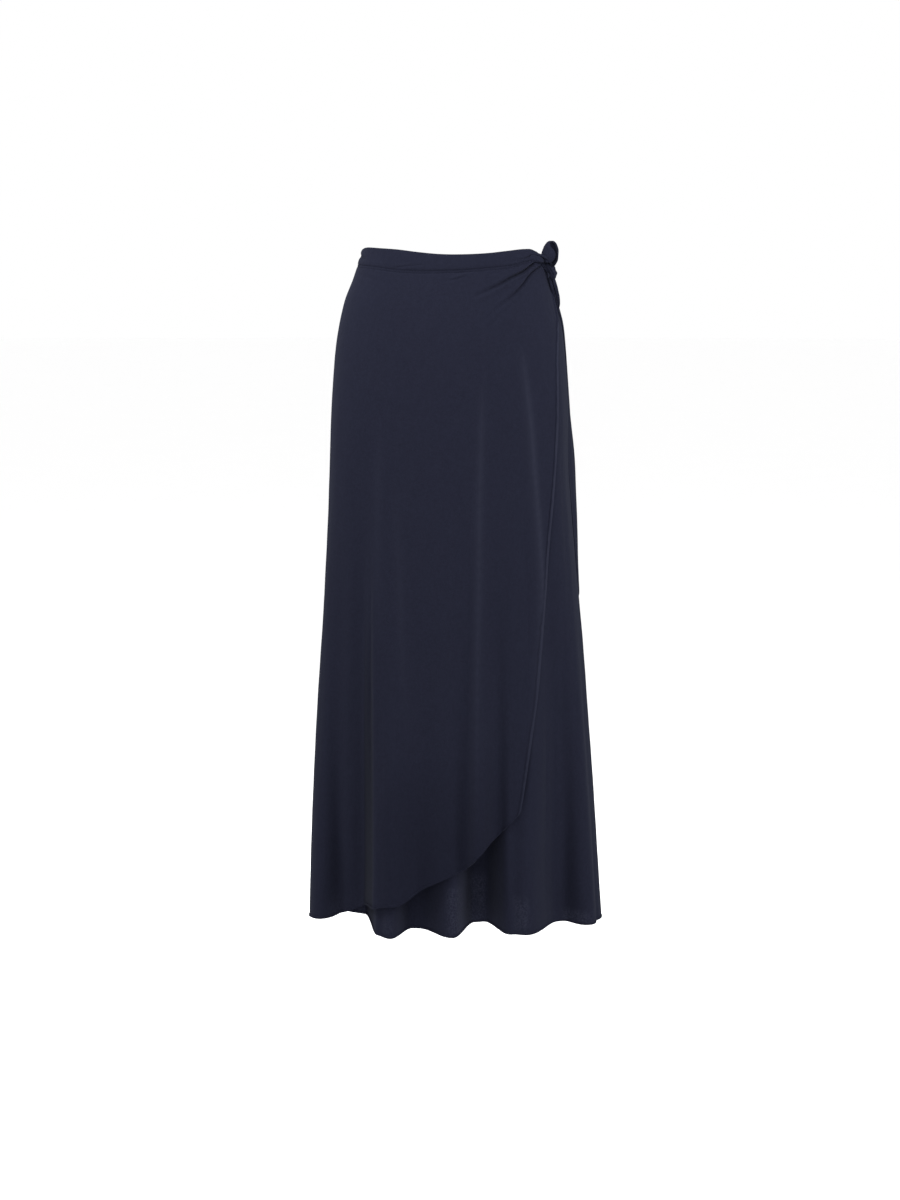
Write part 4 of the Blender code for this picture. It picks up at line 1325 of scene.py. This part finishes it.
SENSOR_HEIGHT = 36.0
LENS = 67.69
CAMERA_PLACE = (-0.0071, -3.2, 0.0)
CAMERA_TILT = 8.644  # how far down it looks, in degrees

BELOW_WAIST = (0.0, 0.0, -0.1)  # every lamp's aim
Lamp = namedtuple("Lamp", "name place size watts")
LAMPS = (
    Lamp("overhead", (0.25, -0.75, 0.62), (1.0, 0.6), 8.5),
    Lamp("left", (-1.0, -0.40, 0.60), (0.5, 0.6), 26.0),
    Lamp("right", (1.4, -0.70, 0.45), (0.6, 1.0), 29.0),
    Lamp("front", (0.1, -2.2, 0.50), (1.0, 1.0), 17.5),
    Lamp("behind", (-0.4, 1.3, 0.50), (0.8, 0.6), 14.0),
)
WORLD_COLOUR = (1.0, 1.0, 1.0, 1.0)
WORLD_STRENGTH = 1.0

FLOOR_SIDES = 96
FLOOR_RADIUS = 30.0
FLOOR_BELOW = 0.20
FLOOR_DIM = (0.985, 0.985, 0.985, 1.0)
FLOOR_PALE = (0.995, 0.995, 0.995, 1.0)
FLOOR_CLOUDS = 3.0
FLOOR_ROUGHNESS = 0.9


def make_camera():
    """At a standing viewer's waist height, tilted down a little, with the whole skirt in view."""
    camera = bpy.data.objects.new("camera", bpy.data.cameras.new("camera"))
    camera.data.sensor_fit = "VERTICAL"
    camera.data.sensor_height = SENSOR_HEIGHT
    camera.data.lens = LENS
    camera.location = CAMERA_PLACE
    camera.rotation_euler = (math.radians(90 - CAMERA_TILT), 0.0, 0.0)
    bpy.context.scene.collection.objects.link(camera)
    bpy.context.scene.camera = camera


def soft_light(row):
    """A lamp that the camera doesn't see, aimed below the waist."""
    light = bpy.data.lights.new(row.name, "AREA")
    light.shape = "RECTANGLE"
    light.size, light.size_y = row.size
    light.energy = row.watts
    lamp = bpy.data.objects.new(row.name, light)
    lamp.location = row.place
    lamp.rotation_euler = (Vector(BELOW_WAIST) - lamp.location).to_track_quat("-Z", "Y").to_euler()
    lamp.visible_camera = False
    bpy.context.scene.collection.objects.link(lamp)


def make_floor():
    low, high = cad_box
    mesh = bpy.data.meshes.new("floor")
    shape = bmesh.new()
    bmesh.ops.create_circle(shape, cap_ends=True, segments=FLOOR_SIDES, radius=FLOOR_RADIUS)
    shape.to_mesh(mesh)
    shape.free()
    floor = bpy.data.objects.new("floor", mesh)
    floor.location.z = low.z - FLOOR_BELOW
    bpy.context.scene.collection.objects.link(floor)
    finish = Finish("pale_floor")
    where = finish.add("ShaderNodeTexCoord", "Object")
    tone = finish.blend(finish.noise(where, FLOOR_CLOUDS), FLOOR_DIM, FLOOR_PALE)
    finish.surface({"Base Color": tone, "Roughness": FLOOR_ROUGHNESS})
    mesh.materials.append(finish.material)


def make_studio():
    world = bpy.data.worlds.new("studio")
    world.use_nodes = True
    background = world.node_tree.nodes["Background"]
    background.inputs["Color"].default_value = WORLD_COLOUR
    background.inputs["Strength"].default_value = WORLD_STRENGTH
    bpy.context.scene.world = world
    bpy.context.scene.view_settings.view_transform = "Standard"
    for row in LAMPS:
        soft_light(row)
    make_floor()


# ---- The skirt ----


def finish_piece(piece, node):
    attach(piece, "root")
    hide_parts(node)


def make_panels(material):
    left = even_columns(
        overlap_point, -BEFORE_SEAM, SQUEEZE_FROM, PANEL_COLUMNS - COLUMNS_TO_EDGE, EVEN_AT_OVERLAP
    )
    right = np.linspace(SQUEEZE_FROM, OVERLAP_EDGE[0].bearing, COLUMNS_TO_EDGE)
    overlap = panel("front_overlap_cloth", OVERLAP, np.concatenate([left[:-1], right]), material)
    bearings = even_columns(underlap_point, UNDERLAP_EDGE, BEFORE_SEAM, PANEL_COLUMNS, EVEN_AT)
    underlap = panel("front_underlap_cloth", UNDERLAP, bearings, material)
    bearings = even_columns(back_point, AFTER_SEAM, FULL_TURN - AFTER_SEAM, PANEL_COLUMNS, EVEN_AT)
    back = panel("back_panel_cloth", BACK, bearings, material)
    finish_piece(overlap, "front_overlap")
    finish_piece(underlap, "front_underlap")
    finish_piece(back, "back_panel")


def level(bearing, drop):
    """No inset: the layer lies on the section itself."""
    return np.zeros(np.shape(bearing))


def make_bands(material):
    stretches = (
        ("waistband_overlap", OVERLAP_BAND, -BEFORE_SEAM, BAND_END, level, 0.30),
        ("waistband_underlap", UNDERLAP_BAND, UNDERLAP_EDGE, BEFORE_SEAM, underlap_inset, 0.34),
        ("waistband_back", BACK_BAND, AFTER_SEAM, FULL_TURN - AFTER_SEAM, level, 0.36),
    )
    for node, edges, low, high, inset, length in stretches:
        piece = band(node + "_cloth", edges, low, high, inset, material)
        finish_piece(piece, node)


def make_tie(material):
    knot = tie_knot("tie_knot_cloth", material)
    finish_piece(knot, "tie_knot")
    loop = tie_loop("tie_loop_cloth", material)
    finish_piece(loop, "tie_loop")
    short = short_tail("tie_tail_short_cloth", material)
    finish_piece(short, "tie_tail_short")
    long = long_tail("tie_tail_long_cloth", material)
    finish_piece(long, "tie_tail_long")


def make_stitches(material):
    knot_seam = SIDE_SEAM - STITCH_MARGIN
    past_knot_seam = SIDE_SEAM + STITCH_MARGIN
    plain_seam = BEYOND_BACK - STITCH_MARGIN
    waist_seams = (
        (OVERLAP_BAND, -knot_seam, SEWN_OUT, overlap_point),
        (BACK_BAND, past_knot_seam, plain_seam, back_point),
    )
    hems = (
        (OVERLAP_HEM, -knot_seam, HEM_STITCHED_TO, overlap_point),
        (UNDERLAP_HEM, UNDERLAP_EDGE + STITCH_MARGIN, knot_seam, underlap_point),
        (BACK_HEM, past_knot_seam, plain_seam, back_point),
    )
    rows = []
    for edges, low, high, point in waist_seams:
        bearing = np.linspace(low, high, BAND_STITCH_SAMPLES)
        seam = -along(edges, "seam", bearing)
        rows.append(on_surface(point, bearing, seam - SEAM_STITCHES, BAND_CLOTH + CLOTH))
        rows.append(on_surface(point, bearing, seam + SEAM_STITCHES, CLOTH))
    drop = np.linspace(EDGE_STITCHED_FROM, EDGE_STITCHED_TO, HEM_STITCH_SAMPLES)
    slanting = along(OVERLAP_EDGE, "bearing", drop)
    bearing = slanting - HEM_STITCHES / per_degree(slanting, drop)
    rows.append(on_surface(overlap_point, bearing, drop, HEM_CLOTH))
    for hem, low, high, point in hems:
        bearing = np.linspace(low, high, HEM_STITCH_SAMPLES)
        rows.append(on_surface(point, bearing, along(hem, "drop", bearing) - HEM_STITCHES, HEM_CLOTH))
    piece = stitch_rows("stitching", rows, material)
    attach(piece, "root")


make_camera()
make_studio()
panel_crepe = crepe("panel_crepe", PANEL_RELIEF, panels=True)
band_crepe = crepe("band_crepe", TIE_RELIEF)
tie_crepe = crepe("tie_crepe", TIE_RELIEF)
thread = crepe("navy_thread", THREAD_RELIEF)
make_panels(panel_crepe)
make_bands(band_crepe)
make_tie(tie_crepe)
make_stitches(thread)
